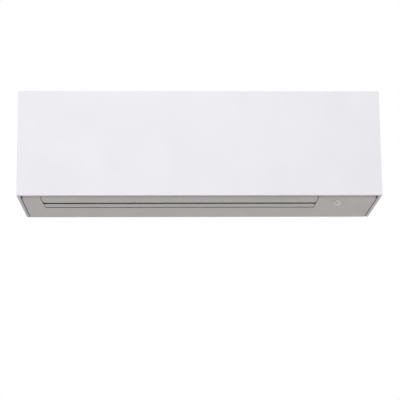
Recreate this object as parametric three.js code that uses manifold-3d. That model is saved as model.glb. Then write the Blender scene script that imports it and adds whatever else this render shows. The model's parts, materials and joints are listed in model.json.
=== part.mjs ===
// Indoor unit of a split air conditioner, for hanging on a wall.
// Millimetres, +Z up. The wall is the plane y = 0 and the room is towards -Y.
// Each place is given as x, out (distance from the wall) and up (height above the underside).

import * as THREE from 'three';
import { mergeVertices } from 'three/addons/utils/BufferGeometryUtils.js';
import Module from 'manifold-3d';

const wasm = await Module();
wasm.setup();

// Driving dimensions: the body
const bodyWidth = 985;
const bodyHeight = 294;
const bodyDepth = 250;
const shellWall = 2.5;
const seatGap = 0.5;          // between pieces that touch
const boreGap = 0.5;          // between a pin and its bore, all round
const cutReach = 1;           // how far a cut runs past a face, and a joined shape into its neighbour

// Front panel and its hinge
const panelThickness = 9;
const panelSkin = 2;
const panelRim = 3;
const panelRib = 2;
const panelEdgeRound = 1.2;
const panelColumns = 4;
const panelRows = 3;
const panelToFrame = 5.5;
const hingeFromEnd = 82.5;
const hingeBelowTop = 6;
const hingeBehindFace = 6.8;
const hingePinRadius = 2;
const hingeEyeRadius = 4.2;
const hingeEyeWidth = 6;
const hingeNeck = 2.5;        // half its height
const hingeCheekDrop = 5;     // below the pin
const hingeCheekProud = 1;    // behind the panel's back
const hingeCheekBelowTop = 2;

// Front frame, its top deck and the intake grille
const frameWall = 3;
const frameEndWall = 2;
const frameLow = 46;
const frameEndLow = 16;
const frameScrewAboveLow = 8;
const frameScrewFromWall = 20;
const frameWindowColumns = 4; // for each filter
const frameWindowRows = 2;
const frameWindowBar = 6;
const frameWindowAboveLow = 20;
const frameWindowBelowDeck = 40;
const deckBelowTop = 5;
const deckWall = 3.5;
const deckRim = 3.5;
const deckFromWall = 6;
const frameEndGap = 1;        // from the back wall to the frame's ends
const intakeFromBackWall = 27;
const intakeMargin = 2;       // past the casing's end walls
const intakeToLeg = 8;        // from the intake to the filters' legs
const ledgeWidth = 4;
const ledgeWall = 2;
const grilleSlotColumns = 4;  // for each filter
const grilleSlotRows = 5;
const grilleBar = 10;

// Side covers and underside
const coverThickness = 8;
const coverTopDrop = 1.5;
const coverRib = 2;
const coverPockets = 3;
const coverFrontWall = 7.5;
const grooveWidth = 3;
const undersideSetback = 37;
const undersideCorner = 6;
const undersideLip = 14;
const undersideFromWall = 1;
const undersideRibs = [40, 75];
const undersideRibWall = 1.6;
const undersideRibHeight = 6;
const undersideRibFromEnd = 10;
const undersideRearLip = 8;

// Outlet and its two flaps
const outletLeftMargin = 60.5;
const outletRightMargin = 168.5;
const outletDepth = 100.5;
const outletTaper = 4;
const outletEndGap = 3;       // from the outlet's ends to the casing's end walls
const flapThickness = 3;
const flapPivotUp = 6.5;
const flapBarrelRadius = 4.2;
const flapPinRadius = 2;
const flapEndGap = 1.6;
const flapSlot = 13;          // the dark slot between the two flaps
const flapTurnUp = 10;        // height of the front flap's turned-up edge
const flapTip = 1.2;          // thickness of the rear flap's leading edge
const flapTipTaper = 9;
const flapLipWall = 2.4;
const flapInnerSlope = 5.6;
const rearFlapDepth = 35.5;
const rearFlapGap = 5;
const flapTail = 4;           // from the pivot back to the trailing edge
const flapStepperRadius = 11;
const flapStepperLength = 15;
const flapStepperRise = 8.3;  // of its body above its output
const flapStepperEar = 6;     // past the body on each side
const flapBarrelInset = 4;
const flapWebInset = 8;
const flapPinInset = 20;      // of its two pins, into the flap
const flapPinInStepper = 9;

// Cross-flow fan
const fanToFace = 134;
const fanUp = 126;
const fanRadius = 49.5;
const fanBladeInner = 38;
const fanBladeTipGap = 1.5;
const fanBladeBow = 5;
const fanBladeThickness = 1.3;
const fanBlades = 24;
const fanSections = 3;
const fanDisc = 2.4;
const fanRingWidth = 15.5;
const fanEndGap = 8;
const fanHubLength = 20;
const fanHubWall = 5;
const shaftRadius = 4;
const shaftInHub = 15;
const bearingRadius = 15;
const bearingFlange = 4;

// Fan casing and chassis
const casingWall = 3;
const casingEndAngle = 250;   // degrees from straight out, over the top
const casingNear = 6.5;
const casingFar = 42;
const casingSteps = 10;
const casingFoot = 4.5;
const casingFootUp = 4;
const endWallAngle = 165;     // where the end walls start to follow the casing
const endWallHead = 28;
const endWallFoot = 14;
const endWallPastFan = 40;
const chassisEndGap = 3;
const chassisFoot = 3;
const chassisFootLow = 10;
const backWallOut = 10;
const backWallLip = 7;
const pipeRecessUp = 66;
const shelfWall = 3;
const shelfPastWall = 30;
const wallStopSpacing = 300;
const wallStopWidth = 12;
const wallStopHeight = 6;
const wallGap = 2.2;          // from the chassis feet and stops to the wall

// Heat exchanger
const finPackThickness = 26;
const finPitch = 30;
const finThickness = 9;
const finGroove = 9;
const coilToFilter = 5.5;
const coilEndGap = 6;
const coilBelowDeck = 18;
const coilApexFromFan = 9.5;
const coilApexGap = 1.5;
const coilKneeGap = 11;       // between the two front packs
const coilKneeStep = 5;
const frontPackLength = 76;
const frontPackBelowFan = 14; // lower end of the front pack, below the fan's axis
const rearPackFromWall = 29;
const rearPackAboveFan = 21;
const tubeRadius = 3.5;
const returnBendRadius = 8;
const endPlateThickness = 1.2;
const endPlatePast = 4;

// Drain pan
const panWall = 3.5;
const panTroughDepth = 20;
const panRim = 4;
const panToCoil = 8;
const panToFrame = 3;
const panEndTray = 9;
const ductWallThickness = 4;
const ductWallToFan = 3.5;
const ductWallBelowFan = 28;
const rearTroughBelowCoil = 17;
const rearTroughPastCoil = 21;
const casingPastTrough = 11.2;
const rearTroughRim = 10;
const rearTroughWall = 2.5;
const spigotRadius = 8.5;
const spigotBore = 6;
const spigotLength = 17;
const spigotAboveFloor = 7;
const plugLength = 12;
const plugHead = 3;

// Air guide vanes
const vanesPerGroup = 5;
const vaneBelowLip = 42;      // from the top of the outlet's front wall down to the vanes' axes
const vaneThickness = 1.6;
const vaneReach = 50;
const vaneNose = 14;
const vaneTail = 32;
const vaneCorner = 17;        // cut off the free corner of the tail
const vaneFootGap = 3;
const vaneStemRadius = 2.8;
const vaneLinkOffset = 9;
const vaneLinkPinRadius = 1.3;
const vaneLinkBossWall = 1.6;
const vaneLinkBossHeight = 8;
const tieBarWidth = 5;
const tieBarThickness = 2.5;
const vaneStepperRadius = 12;
const vaneStepperLength = 15;
const vaneStepperEar = 8;
const drivenStem = 11;        // into the gearmotor, past the outlet's front wall
const earWidth = 6;           // of the small gearmotors' fixing ears
const earThickness = 2;

// Filters
const filterThickness = 2.6;
const filterBar = 7;
const filterThinBar = 3;
const filterColumns = 4;
const filterToFrame = 11;
const filterToPan = 3;
const filterFromGrille = 6;   // from the back of the intake to the back of the filter
const filterSideGap = 4;
const filterGripWidth = 70;
const filterGripRise = 2;
const filterGripFromFront = 14;
const filterSlotGap = 1;      // around a filter's leg in the deck
const filterRailWall = 1.4;
const filterRailLip = 4;
const filterRailLipWall = 2;

// Fan motor
const motorRadius = 45;
const motorLength = 60;
const motorChamfer = 8;
const motorFromWall = 8;
const motorBossRadius = 18;
const motorBossLength = 7;
const motorOpening = 16;
const cradleRib = 5;
const cradleWall = 8;
const cradleFoot = 10;
const cradleRise = 30;
const strapWidth = 20;
const strapWall = 2;
const strapTab = 14;

// Pipes
const gasPipeRadius = 4.8;
const liquidPipeRadius = 3.2;
const gasPipeFromWall = 20;   // from the chassis' back face
const gasPipeUp = 36;
const liquidPipeFromWall = 40;
const liquidPipeUp = 26;
const gasPipeBay = 24;        // from the casing's right-hand end wall
const liquidPipeBay = 44;
const pipeEnd = -60;
const pipeBendNear = 6;
const pipeBendFar = 22;
const pipeStraight = 60;      // before and after the bend into the recess
const clampX = 140;
const clampWidth = 12;
const nutLength = 18;
const nutCollar = 8;
const nutWall = 1.5;
const nutBore = 10;           // how deep the pipe's end sits

// Electrics
const boxLow = 80;
const boxWall = 2;
const boxBelowDeck = 30;
const boxToFrame = 36;
const boxToMotor = 5;
const boxToEnd = 6;
const boardThickness = 1.6;
const boardStandOff = 27;
const boardMargin = 8;
const transformerHalf = 20;
const transformerDepth = 31;
const transformerBelowTop = 35;
const transformerHeight = 28;
const relayDepth = 16;
const relayWidth = 13;
const relayBelowTop = 12;
const relayHeight = 20;
const capacitorLength = 35;
const capacitorRadius = 9;
const postRadius = 3;
const coverRimDepth = 5;
const coverRimWall = 1.5;
const terminalWidth = 60;
const terminalHeight = 24;
const terminalDepth = 14;
const sensorFromOutlet = 56;
const sensorBehindFace = 74;
const sensorRadius = 13;
const sensorDrop = 10;        // how far the lens stands below the underside
const sensorFlange = 3;
const sensorFlangeUp = 8;
const sensorDimple = 20.5;
const sensorDimpleDepth = 4.5;
const sensorBossLow = 0.2;
const sensorBossWall = 3;
const sensorPostUp = 12;
const sensorPostSpread = 27;
const sensorBoardHalf = 32;
const buttonFromEnd = 62.5;
const buttonUp = 150;
const buttonRadius = 7;
const buttonTravel = 2;
const buttonPostSpread = 18;
const buttonFlange = 2.5;
const buttonProud = 3;        // in front of the frame
const buttonStemEnd = -7.2;
const switchBoardDepth = 16;  // behind the front frame's face

// Mounting plate
const plateThickness = 1.5;
const plateWidth = 660;
const plateLow = 74;
const plateBelowTop = 22;
const plateCorner = 18;
const plateWindowColumns = 6;
const plateWindowWidth = 76;
const plateWindowHeight = 40;
const plateWindowEdge = 12;
const plateWindowAboveHoles = 43;
const plateHoleRadius = 2.6;
const plateHoles = [-290, -200, -100, 100, 200, 290];
const plateHooks = [-180, 180];
const plateHookWidth = 50;
const plateHookBelowDeck = 39;
const plateHookRise = 13;
const plateHookWall = 2;
const plateHookSide = 3;      // clearance beside a hook in its slot
const plateHookLift = 8;      // room under a hook, to hang the unit on it
const plateCatches = [-250, 250];
const plateCatchWidth = 30;

// Screws
const screwHeadRadius = 4;
const screwHeadHeight = 2;
const screwRadius = 2;
const screwLength = 9;

// Worked out from the driving dimensions
const halfWidth = bodyWidth / 2;
const frameFront = bodyDepth - panelThickness - panelToFrame;
const deckUp = bodyHeight - deckBelowTop;
const deckUnder = deckUp - deckWall;
const coverInside = halfWidth - coverThickness;
const undersideFront = bodyDepth - undersideSetback;
const undersideHalf = coverInside - grooveWidth;
const outletBack = undersideFront - outletDepth;
const outletLeft = -halfWidth + outletLeftMargin;
const outletRight = halfWidth - outletRightMargin;
const leftWall = outletLeft - outletEndGap;      // inner faces of the casing's end walls
const rightWall = outletRight + outletEndGap;
const fanOut = bodyDepth - fanToFace;
const rearFlapBack = outletBack + rearFlapGap;
const rearPivotOut = rearFlapBack + flapTail;
const frontFlapBack = rearFlapBack + rearFlapDepth + flapSlot;
const frontPivotOut = frontFlapBack + flapTail + 1;
const backWallFront = backWallOut + casingWall;
const filterLegOut = frameFront - filterToFrame;
const hingeX = halfWidth - hingeFromEnd;
const hingeOut = bodyDepth - hingeBehindFace;
const hingeUp = bodyHeight - hingeBelowTop;
const frameScrewUp = frameLow + frameScrewAboveLow;
const frameScrewXs = [
  leftWall - frameScrewFromWall, (leftWall + rightWall) / 2, coverInside - frameScrewFromWall];
const intake = {
  x: [leftWall - intakeMargin, rightWall + intakeMargin],
  out: [backWallFront + intakeFromBackWall, filterLegOut - intakeToLeg],
};
const filterBack = intake.out[0] + filterFromGrille;
const frontCoilOut = filterLegOut - coilToFilter - finPackThickness / 2;
const frontCoilLow = fanUp - frontPackBelowFan;
const rearCoilLow = new THREE.Vector2(backWallFront + rearPackFromWall, fanUp + fanRadius + rearPackAboveFan);
const rearTroughFront = rearCoilLow.x + rearTroughPastCoil;
const rearFloorUp = rearCoilLow.y - rearTroughBelowCoil;
const casingTopAngle = THREE.MathUtils.radToDeg(Math.atan2(
  rearFloorUp - fanUp, rearTroughFront + casingPastTrough - fanOut));
const coilTop = deckUnder - coilBelowDeck;
const coilApexHalf = finPackThickness / 2 + coilApexGap;
const coilX = [leftWall + coilEndGap, rightWall - coilEndGap];
const fanX = [leftWall + fanEndGap, rightWall - fanEndGap];
const plateHookUp = deckUp - plateHookBelowDeck;
const motorLeft = rightWall + casingWall + motorFromWall;
const gasLine = { out: backWallOut + gasPipeFromWall, up: gasPipeUp };
const liquidLine = { out: backWallOut + liquidPipeFromWall, up: liquidPipeUp };
const boxX = [motorLeft + motorLength + motorBossLength + boxToMotor, coverInside - seatGap - boxToEnd];
const boxMiddle = (boxX[0] + boxX[1]) / 2;
const boxUp = [boxLow, deckUp - boxBelowDeck];
const boxFront = frameFront - boxToFrame;
const sensorX = outletRight + sensorFromOutlet;
const sensorOut = bodyDepth - sensorBehindFace;
const buttonX = halfWidth - buttonFromEnd;

// The drain pan's trough under the front packs, and its spigots.
const trough = {
  back: frontCoilOut - finPackThickness / 2 - panToCoil,
  front: frameFront - frameWall - panToFrame,
  floor: frontCoilLow - panTroughDepth,
  top: frontCoilLow + panRim,
};
const spigot = { out: (trough.back + trough.front) / 2 + 2, up: trough.floor + panWall + spigotAboveFloor };

// The outlet's front wall runs from the lip beside the fan down to the front edge of the outlet.
const ductWall = {
  high: new THREE.Vector2(fanOut + fanRadius + ductWallToFan, fanUp - ductWallBelowFan),
  low: new THREE.Vector2(undersideFront - 3, undersideLip + 8),
};
const filterLow = trough.top + filterToPan;

// ---------- Finishes ----------

function finish(color, roughness, metalness = 0) {
  return new THREE.MeshStandardMaterial({ color, roughness, metalness, flatShading: true });
}

const whitePlastic = finish(0xeceef0, 0.45);
const greyPlastic = finish(0xb4b1b0, 0.55);
const innerPlastic = finish(0x4c4d50, 0.6);
const blackPlastic = finish(0x2b2c2e, 0.5);
const fanPlastic = finish(0x3a3c40, 0.55);
const finAluminium = finish(0xb9c4cc, 0.35, 0.9);
const zincSteel = finish(0xa9adb0, 0.45, 0.9);
const copper = finish(0xb8734a, 0.35, 1);
const brass = finish(0xb99a55, 0.35, 1);
const rubber = finish(0x303030, 0.85);
const boardGreen = finish(0x2f6b46, 0.6);
const lensPlastic = finish(0xe6e6e8, 0.15);

// ---------- Solids ----------

function toSolid(geometry) {
  geometry.deleteAttribute('normal');
  geometry.deleteAttribute('uv');
  const merged = mergeVertices(geometry, 1e-4);
  return new wasm.Manifold(new wasm.Mesh({
    numProp: 3,
    vertProperties: merged.attributes.position.array,
    triVerts: new Uint32Array(merged.index.array),
  }));
}

function piece(name, solid, material) {
  const faces = solid.getMesh();
  const geometry = new THREE.BufferGeometry();
  geometry.setAttribute('position', new THREE.BufferAttribute(faces.vertProperties, 3));
  geometry.setIndex(new THREE.BufferAttribute(faces.triVerts, 1));
  const mesh = new THREE.Mesh(geometry, material);
  mesh.name = name;
  return mesh;
}

function at(x, out, up) {
  return new THREE.Vector3(x, -out, up);
}

function ordered(a, b) {
  return [Math.min(a, b), Math.max(a, b)];
}

function joined(solids) {
  return solids.reduce((whole, next) => whole.add(next));
}

function without(solid, cuts) {
  return cuts.reduce((rest, cut) => rest.subtract(cut), solid);
}

function block([x0, x1], [out0, out1], [up0, up1]) {
  const box = new THREE.BoxGeometry(x1 - x0, out1 - out0, up1 - up0);
  return toSolid(box.translate((x0 + x1) / 2, -(out0 + out1) / 2, (up0 + up1) / 2));
}

function outline(points) {
  return new THREE.Shape(points.map(([a, b]) => new THREE.Vector2(a, b)));
}

function extruded(shape, depth, basis, shift) {
  const geometry = new THREE.ExtrudeGeometry(shape, { depth, bevelEnabled: false, curveSegments: 6 });
  return toSolid(geometry.applyMatrix4(basis).translate(...shift));
}

// A shape of [out, up] points, run from x0 to x1.
const acrossBasis = new THREE.Matrix4().makeBasis(
  new THREE.Vector3(0, -1, 0), new THREE.Vector3(0, 0, 1), new THREE.Vector3(-1, 0, 0));

function across(shape, x0, x1) {
  return extruded(shape, x1 - x0, acrossBasis, [x1, 0, 0]);
}

// A shape of [x, up] points seen from the room, run from out0 to out1.
const facingBasis = new THREE.Matrix4().makeBasis(
  new THREE.Vector3(1, 0, 0), new THREE.Vector3(0, 0, 1), new THREE.Vector3(0, -1, 0));

function facing(shape, out0, out1) {
  return extruded(shape, out1 - out0, facingBasis, [0, -out0, 0]);
}

// A shape of [x, y] points seen from above, run from up0 to up1.
function upright(shape, up0, up1) {
  return extruded(shape, up1 - up0, new THREE.Matrix4(), [0, 0, up0]);
}

function rod(from, to, radius, sides = 12) {
  const length = from.distanceTo(to);
  const geometry = new THREE.CylinderGeometry(radius, radius, length, sides);
  const turn = new THREE.Quaternion().setFromUnitVectors(
    new THREE.Vector3(0, 1, 0), to.clone().sub(from).normalize());
  geometry.applyQuaternion(turn);
  const middle = from.clone().add(to).multiplyScalar(0.5);
  return toSolid(geometry.translate(middle.x, middle.y, middle.z));
}

function rodAcross(x0, x1, out, up, radius, sides = 12) {
  return rod(at(x0, out, up), at(x1, out, up), radius, sides);
}

function rodOut(x, [out0, out1], up, radius, sides = 8) {
  return rod(at(x, out0, up), at(x, out1, up), radius, sides);
}

function tube(path, radius, steps, sides) {
  const ring = Array.from({ length: sides }, (_, i) => {
    const angle = (i / sides) * Math.PI * 2;
    return [radius * Math.cos(angle), radius * Math.sin(angle)];
  });
  return toSolid(new THREE.ExtrudeGeometry(outline(ring), { steps, extrudePath: path, bevelEnabled: false }));
}

// The middles of count equal shares of a length.
function span(from, to, count) {
  return Array.from({ length: count }, (_, i) => from + (to - from) * (i + 0.5) / count);
}

// ---------- Front panel ----------

function panelSlab() {
  const inset = panelEdgeRound;
  const shape = outline([
    [-halfWidth + inset, inset], [halfWidth - inset, inset],
    [halfWidth - inset, bodyHeight - inset], [-halfWidth + inset, bodyHeight - inset]]);
  const geometry = new THREE.ExtrudeGeometry(shape, {
    depth: panelThickness - 2 * inset, bevelSize: inset, bevelThickness: inset, bevelSegments: 2 });
  return toSolid(geometry.applyMatrix4(facingBasis).translate(0, -(bodyDepth - panelThickness + inset), 0));
}

function panelCells() {
  const width = (bodyWidth - 2 * panelRim) / panelColumns - panelRib;
  const height = (bodyHeight - 2 * panelRim) / panelRows - panelRib;
  const cells = [];
  for (const x of span(-halfWidth + panelRim, halfWidth - panelRim, panelColumns)) {
    for (const up of span(panelRim, bodyHeight - panelRim, panelRows)) {
      cells.push(block([x - width / 2, x + width / 2],
        [bodyDepth - panelThickness - cutReach, bodyDepth - panelSkin], [up - height / 2, up + height / 2]));
    }
  }
  return cells;
}

function frontPanel() {
  const back = bodyDepth - panelThickness;
  const notchHalf = hingeEyeWidth / 2 + seatGap;
  let panel = without(panelSlab(), panelCells());
  for (const x of [-hingeX, hingeX]) {
    panel = panel.subtract(block([x - notchHalf, x + notchHalf],
      [back - cutReach, bodyDepth - panelSkin], [hingeUp + 1, bodyHeight + cutReach]));
    for (const side of [-1, 1]) {
      const cheek = ordered(x + side * notchHalf, x + side * (notchHalf + panelRim));
      panel = panel.add(block(cheek, [back - hingeCheekProud, bodyDepth - panelSkin / 2],
        [hingeUp - hingeCheekDrop, bodyHeight - hingeCheekBelowTop]));
    }
    panel = panel.add(rodAcross(x - notchHalf - cutReach, x + notchHalf + cutReach,
      hingeOut, hingeUp, hingePinRadius));
  }
  return piece('front_panel', panel, whitePlastic);
}

// ---------- Front frame ----------

function filterSpans() {
  const middle = (leftWall + rightWall) / 2;
  const half = filterSideGap / 2;
  return [[leftWall + filterSideGap, middle - half], [middle + half, rightWall - filterSideGap]];
}

// The deck over the whole unit, with the opening and the ledge that the intake grille lies on.
function topDeck(end) {
  const [x0, x1] = intake.x;
  const [out0, out1] = intake.out;
  const high = deckUp + deckRim;
  const slab = block([-end, end], [deckFromWall, frameFront], [deckUnder, high]);
  const ledge = block([x0 - ledgeWall, x1 + ledgeWall], [out0 - ledgeWall, out1 + ledgeWall],
    [deckUnder - ledgeWall, deckUnder + cutReach]);
  const seat = block(intake.x, intake.out, [deckUnder, high + cutReach]);
  const opening = block([x0 + ledgeWidth, x1 - ledgeWidth], [out0 + ledgeWidth, out1 - ledgeWidth],
    [deckUnder - ledgeWall - cutReach, high]);
  return without(slab.add(ledge), [seat, opening, ...filterWells()]);
}

function filterWells() {
  const legSlot = [filterLegOut - filterSlotGap, filterLegOut + filterThickness + filterSlotGap];
  return filterSpans().flatMap(([x0, x1]) => {
    const reach = [x0 - seatGap, x1 + seatGap];
    return [
      block(reach, [filterBack - filterSlotGap, legSlot[1] + 1], [deckUp, deckUp + deckRim + cutReach]),
      block(reach, legSlot, [deckUnder - cutReach, deckUp + cutReach]),
    ];
  });
}

function frontWindows() {
  const windows = [];
  const low = frameLow + frameWindowAboveLow;
  const high = deckUp - frameWindowBelowDeck;
  const height = (high - low) / frameWindowRows - frameWindowBar;
  for (const [x0, x1] of filterSpans()) {
    const width = (x1 - x0) / frameWindowColumns - frameWindowBar;
    for (const x of span(x0, x1, frameWindowColumns)) {
      for (const up of span(low, high, frameWindowRows)) {
        windows.push(block([x - width / 2, x + width / 2],
          [frameFront - frameWall - cutReach, frameFront + cutReach], [up - height / 2, up + height / 2]));
      }
    }
  }
  return windows;
}

function filterRails() {
  const rails = [];
  const heights = [filterLow, deckUnder + cutReach];
  const back = filterLegOut - filterSlotGap - filterRailLipWall;
  for (const [x0, x1] of filterSpans()) {
    for (const [edge, side] of [[x0, -1], [x1, 1]]) {
      const outer = edge + side * (seatGap + filterRailWall);
      rails.push(block(ordered(edge + side * seatGap, outer), [back, frameFront - cutReach], heights));
      rails.push(block(ordered(edge - side * filterRailLip, outer),
        [back, back + filterRailLipWall], heights));
    }
  }
  return rails;
}

function hingeEyes() {
  return [-hingeX, hingeX].map((x) => {
    const x0 = x - hingeEyeWidth / 2;
    const x1 = x + hingeEyeWidth / 2;
    const neck = block([x0, x1], [frameFront - cutReach, hingeOut],
      [hingeUp - hingeNeck, hingeUp + hingeNeck]);
    const eye = rodAcross(x0, x1, hingeOut, hingeUp, hingeEyeRadius, 16).add(neck);
    return eye.subtract(rodAcross(x0 - cutReach, x1 + cutReach, hingeOut, hingeUp, hingePinRadius + boreGap));
  });
}

function frontFrame() {
  const end = coverInside - seatGap;
  const through = [frameFront - frameWall - cutReach, frameFront + cutReach];
  const face = block([-end, end], [frameFront - frameWall, frameFront], [frameLow, deckUp]);
  const ends = [-1, 1].map((side) => block(ordered(side * (end - frameEndWall), side * end),
    [backWallFront + frameEndGap, frameFront - cutReach], [frameEndLow, deckUp]));
  const posts = [-buttonPostSpread, buttonPostSpread].map((dx) => rodOut(buttonX + dx,
    [frameFront - switchBoardDepth + seatGap, frameFront - cutReach], buttonUp, postRadius));
  const cuts = [
    ...frontWindows(),
    ...frameScrewXs.map((x) => rodOut(x, through, frameScrewUp, screwRadius + boreGap)),
    rodOut(buttonX, through, buttonUp, buttonRadius + boreGap, 20),
  ];
  const whole = joined([topDeck(end), face, ...ends, ...filterRails(), ...hingeEyes(), ...posts]);
  return piece('front_frame', without(whole, cuts), whitePlastic);
}

function intakeGrille() {
  const [x0, x1] = [intake.x[0] + seatGap, intake.x[1] - seatGap];
  const [out0, out1] = [intake.out[0] + seatGap, intake.out[1] - seatGap];
  const middle = (leftWall + rightWall) / 2;
  const ribHalf = filterSideGap / 2 - seatGap;
  const plate = block([x0, x1], [out0, out1], [deckUnder + seatGap, deckUp]);
  const rib = block([middle - ribHalf, middle + ribHalf], [filterBack, out1],
    [deckUp - cutReach, deckUp + deckRim]);
  const [back, front] = [out0 + ledgeWidth, out1 - ledgeWidth];
  const depth = (front - back) / grilleSlotRows - grilleBar;
  const slots = [];
  for (const [left, right] of filterSpans()) {
    const width = (right - left) / grilleSlotColumns - grilleBar;
    for (const x of span(left, right, grilleSlotColumns)) {
      for (const out of span(back, front, grilleSlotRows)) {
        slots.push(block([x - width / 2, x + width / 2], [out - depth / 2, out + depth / 2],
          [deckUnder - cutReach, deckUp + cutReach]));
      }
    }
  }
  return piece('intake_grille', without(plate.add(rib), slots), whitePlastic);
}

// ---------- Side covers ----------

function sideCover(name, side) {
  const inner = side * coverInside;
  const outer = side * halfWidth;
  const [x0, x1] = ordered(inner, outer);
  const front = bodyDepth - panelThickness - seatGap;
  const top = bodyHeight - coverTopDrop;
  const sweep = Math.hypot(hingeBelowTop, panelThickness - hingeBehindFace) + seatGap;
  const body = across(outline([
    [seatGap, 0], [front, 0], [front, hingeUp - sweep], [hingeOut - sweep, hingeUp - sweep / 2],
    [hingeOut - sweep, top], [seatGap, top]]), x0, x1);
  const hollow = ordered(inner - side * cutReach, outer - side * shellWall);
  const height = (top - 2 * shellWall) / coverPockets - coverRib;
  const pockets = span(shellWall, top - shellWall, coverPockets).map((up) => block(hollow,
    [seatGap + shellWall, front - coverFrontWall], [up - height / 2, up + height / 2]));
  return piece(name, without(body, pockets), whitePlastic);
}

// ---------- Underside ----------

function undersideProfile() {
  const shape = new THREE.Shape();
  const slopeTop = frameLow - 2 * seatGap;
  const back = undersideFromWall;
  const r = undersideCorner;
  const t = shellWall;
  shape.moveTo(back, 0);
  shape.lineTo(undersideFront - r, 0);
  shape.absarc(undersideFront - r, r, r, -Math.PI / 2, 0, false);
  shape.lineTo(undersideFront, undersideLip);
  shape.lineTo(frameFront, slopeTop);
  shape.lineTo(frameFront - t, slopeTop);
  shape.lineTo(undersideFront - t, undersideLip + 1);
  shape.lineTo(undersideFront - t, r);
  shape.absarc(undersideFront - r, r, r - t, 0, -Math.PI / 2, true);
  shape.lineTo(back + t, t);
  shape.lineTo(back + t, undersideRearLip);
  shape.lineTo(back, undersideRearLip);
  return shape;
}

// The outlet seen from above, a little narrower towards the wall, in [x, y] points.
function outletPlan(inset, back, front) {
  return outline([
    [outletLeft + inset, -front], [outletRight - inset, -front],
    [outletRight - inset - outletTaper / 2, -back], [outletLeft + inset + outletTaper, -back]]);
}

function dimpleCut() {
  const steps = 3;
  const depth = sensorDimpleDepth;
  const r = sensorDimple;
  const ball = (r * r + depth * depth) / (2 * depth);
  const points = [new THREE.Vector2(0, -cutReach), new THREE.Vector2(r, -cutReach)];
  for (let i = 0; i <= steps; i += 1) {
    const x = r * (1 - i / steps);
    points.push(new THREE.Vector2(x, depth - ball + Math.sqrt(ball * ball - x * x)));
  }
  const bowl = new THREE.LatheGeometry(points, 20).rotateX(Math.PI / 2);
  return toSolid(bowl.translate(sensorX, -sensorOut, 0));
}

function bottomCover() {
  const shell = across(undersideProfile(), -undersideHalf, undersideHalf);
  const spot = (dx, up) => at(sensorX + dx, sensorOut, up);
  const boss = rod(spot(0, sensorBossLow), spot(0, sensorFlangeUp), sensorDimple + sensorBossWall, 20);
  const posts = [-sensorPostSpread, sensorPostSpread]
    .map((dx) => rod(spot(dx, 1), spot(dx, sensorPostUp), postRadius, 8));
  const ribReach = undersideHalf - undersideRibFromEnd;
  const ribs = undersideRibs.map((out) => block([-ribReach, ribReach],
    [out, out + undersideRibWall], [1, undersideRibHeight]));
  const cuts = [
    upright(outletPlan(0, outletBack, undersideFront + cutReach), -cutReach, undersideLip),
    dimpleCut(),
    rod(spot(0, -cutReach), spot(0, sensorFlangeUp + cutReach), sensorRadius + boreGap, 16),
  ];
  return piece('bottom_cover', without(joined([shell, boss, ...posts, ...ribs]), cuts), greyPlastic);
}

function sensorLens() {
  const centre = sensorRadius - sensorDrop;
  const steps = 4;
  const points = [new THREE.Vector2(0, -sensorDrop)];
  for (let i = 1; i <= steps; i += 1) {
    const angle = (i / steps) * Math.PI / 2;
    points.push(new THREE.Vector2(sensorRadius * Math.sin(angle), centre - sensorRadius * Math.cos(angle)));
  }
  const flangeLow = sensorFlangeUp + seatGap;
  const flangeHigh = flangeLow + 2;
  const rim = sensorRadius + sensorFlange;
  points.push(new THREE.Vector2(sensorRadius, flangeLow), new THREE.Vector2(rim, flangeLow));
  points.push(new THREE.Vector2(rim, flangeHigh), new THREE.Vector2(0, flangeHigh));
  const lens = piece('sensor_lens',
    toSolid(new THREE.LatheGeometry(points, 16).rotateX(Math.PI / 2)), lensPlastic);
  lens.position.copy(at(sensorX, sensorOut, 0));
  return lens;
}

function sensorBoard() {
  const low = sensorPostUp + seatGap;
  const high = low + boardThickness;
  const board = block([-sensorBoardHalf, sensorBoardHalf], [-14, 14], [low, high]);
  const receiver = block([14, 26], [-5, 5], [high - cutReach, high + 6]);
  const chip = block([-24, -10], [-6, 6], [high - cutReach, high + 2.5]);
  const mesh = piece('sensor_board', joined([board, receiver, chip]), boardGreen);
  mesh.position.copy(at(sensorX, sensorOut, 0));
  return mesh;
}

// ---------- Chassis: back wall, fan casing and rear trough in one moulding ----------

function casingPoint(angle, extra) {
  const share = (angle - casingTopAngle) / (casingEndAngle - casingTopAngle);
  const radius = fanRadius + casingNear + (casingFar - casingNear) * Math.max(share, 0) ** 1.6 + extra;
  const turn = THREE.MathUtils.degToRad(angle);
  return [fanOut + radius * Math.cos(turn), fanUp + radius * Math.sin(turn)];
}

function casingPoints(fromAngle, extra) {
  return Array.from({ length: casingSteps + 1 }, (_, i) => casingPoint(
    fromAngle + (casingEndAngle - fromAngle) * i / casingSteps, extra));
}

function casingScroll() {
  const inner = [...casingPoints(casingTopAngle, 0), [outletBack - 1, casingFootUp]];
  const outer = [...casingPoints(casingTopAngle, casingWall), [outletBack - 1 - casingFoot, casingFootUp]];
  return across(outline([...inner, ...outer.reverse()]), leftWall - cutReach, rightWall + cutReach);
}

// How far out the middle of the casing's wall is, at a given height on its rear side.
function casingOutAt(up) {
  let angle = casingTopAngle;
  while (casingPoint(angle, 0)[1] > up) angle += 0.5;
  return casingPoint(angle, casingWall / 2)[0];
}

function rearTrough() {
  const back = backWallOut + 1;
  const floor = rearFloorUp;
  const low = floor - rearTroughWall;
  const front = rearTroughFront;
  const [topOut, topUp] = casingPoint(casingTopAngle, casingWall / 2);
  const half = casingWall / 2;
  const shape = outline([
    [back, low], [front, low], [topOut, topUp - half], [topOut + 1, topUp + half],
    [front + casingWall, floor + 1], [front + casingWall, floor + rearTroughRim],
    [front, floor + rearTroughRim], [front, floor], [back, floor]]);
  return across(shape, leftWall - cutReach, rightWall + cutReach);
}

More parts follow.
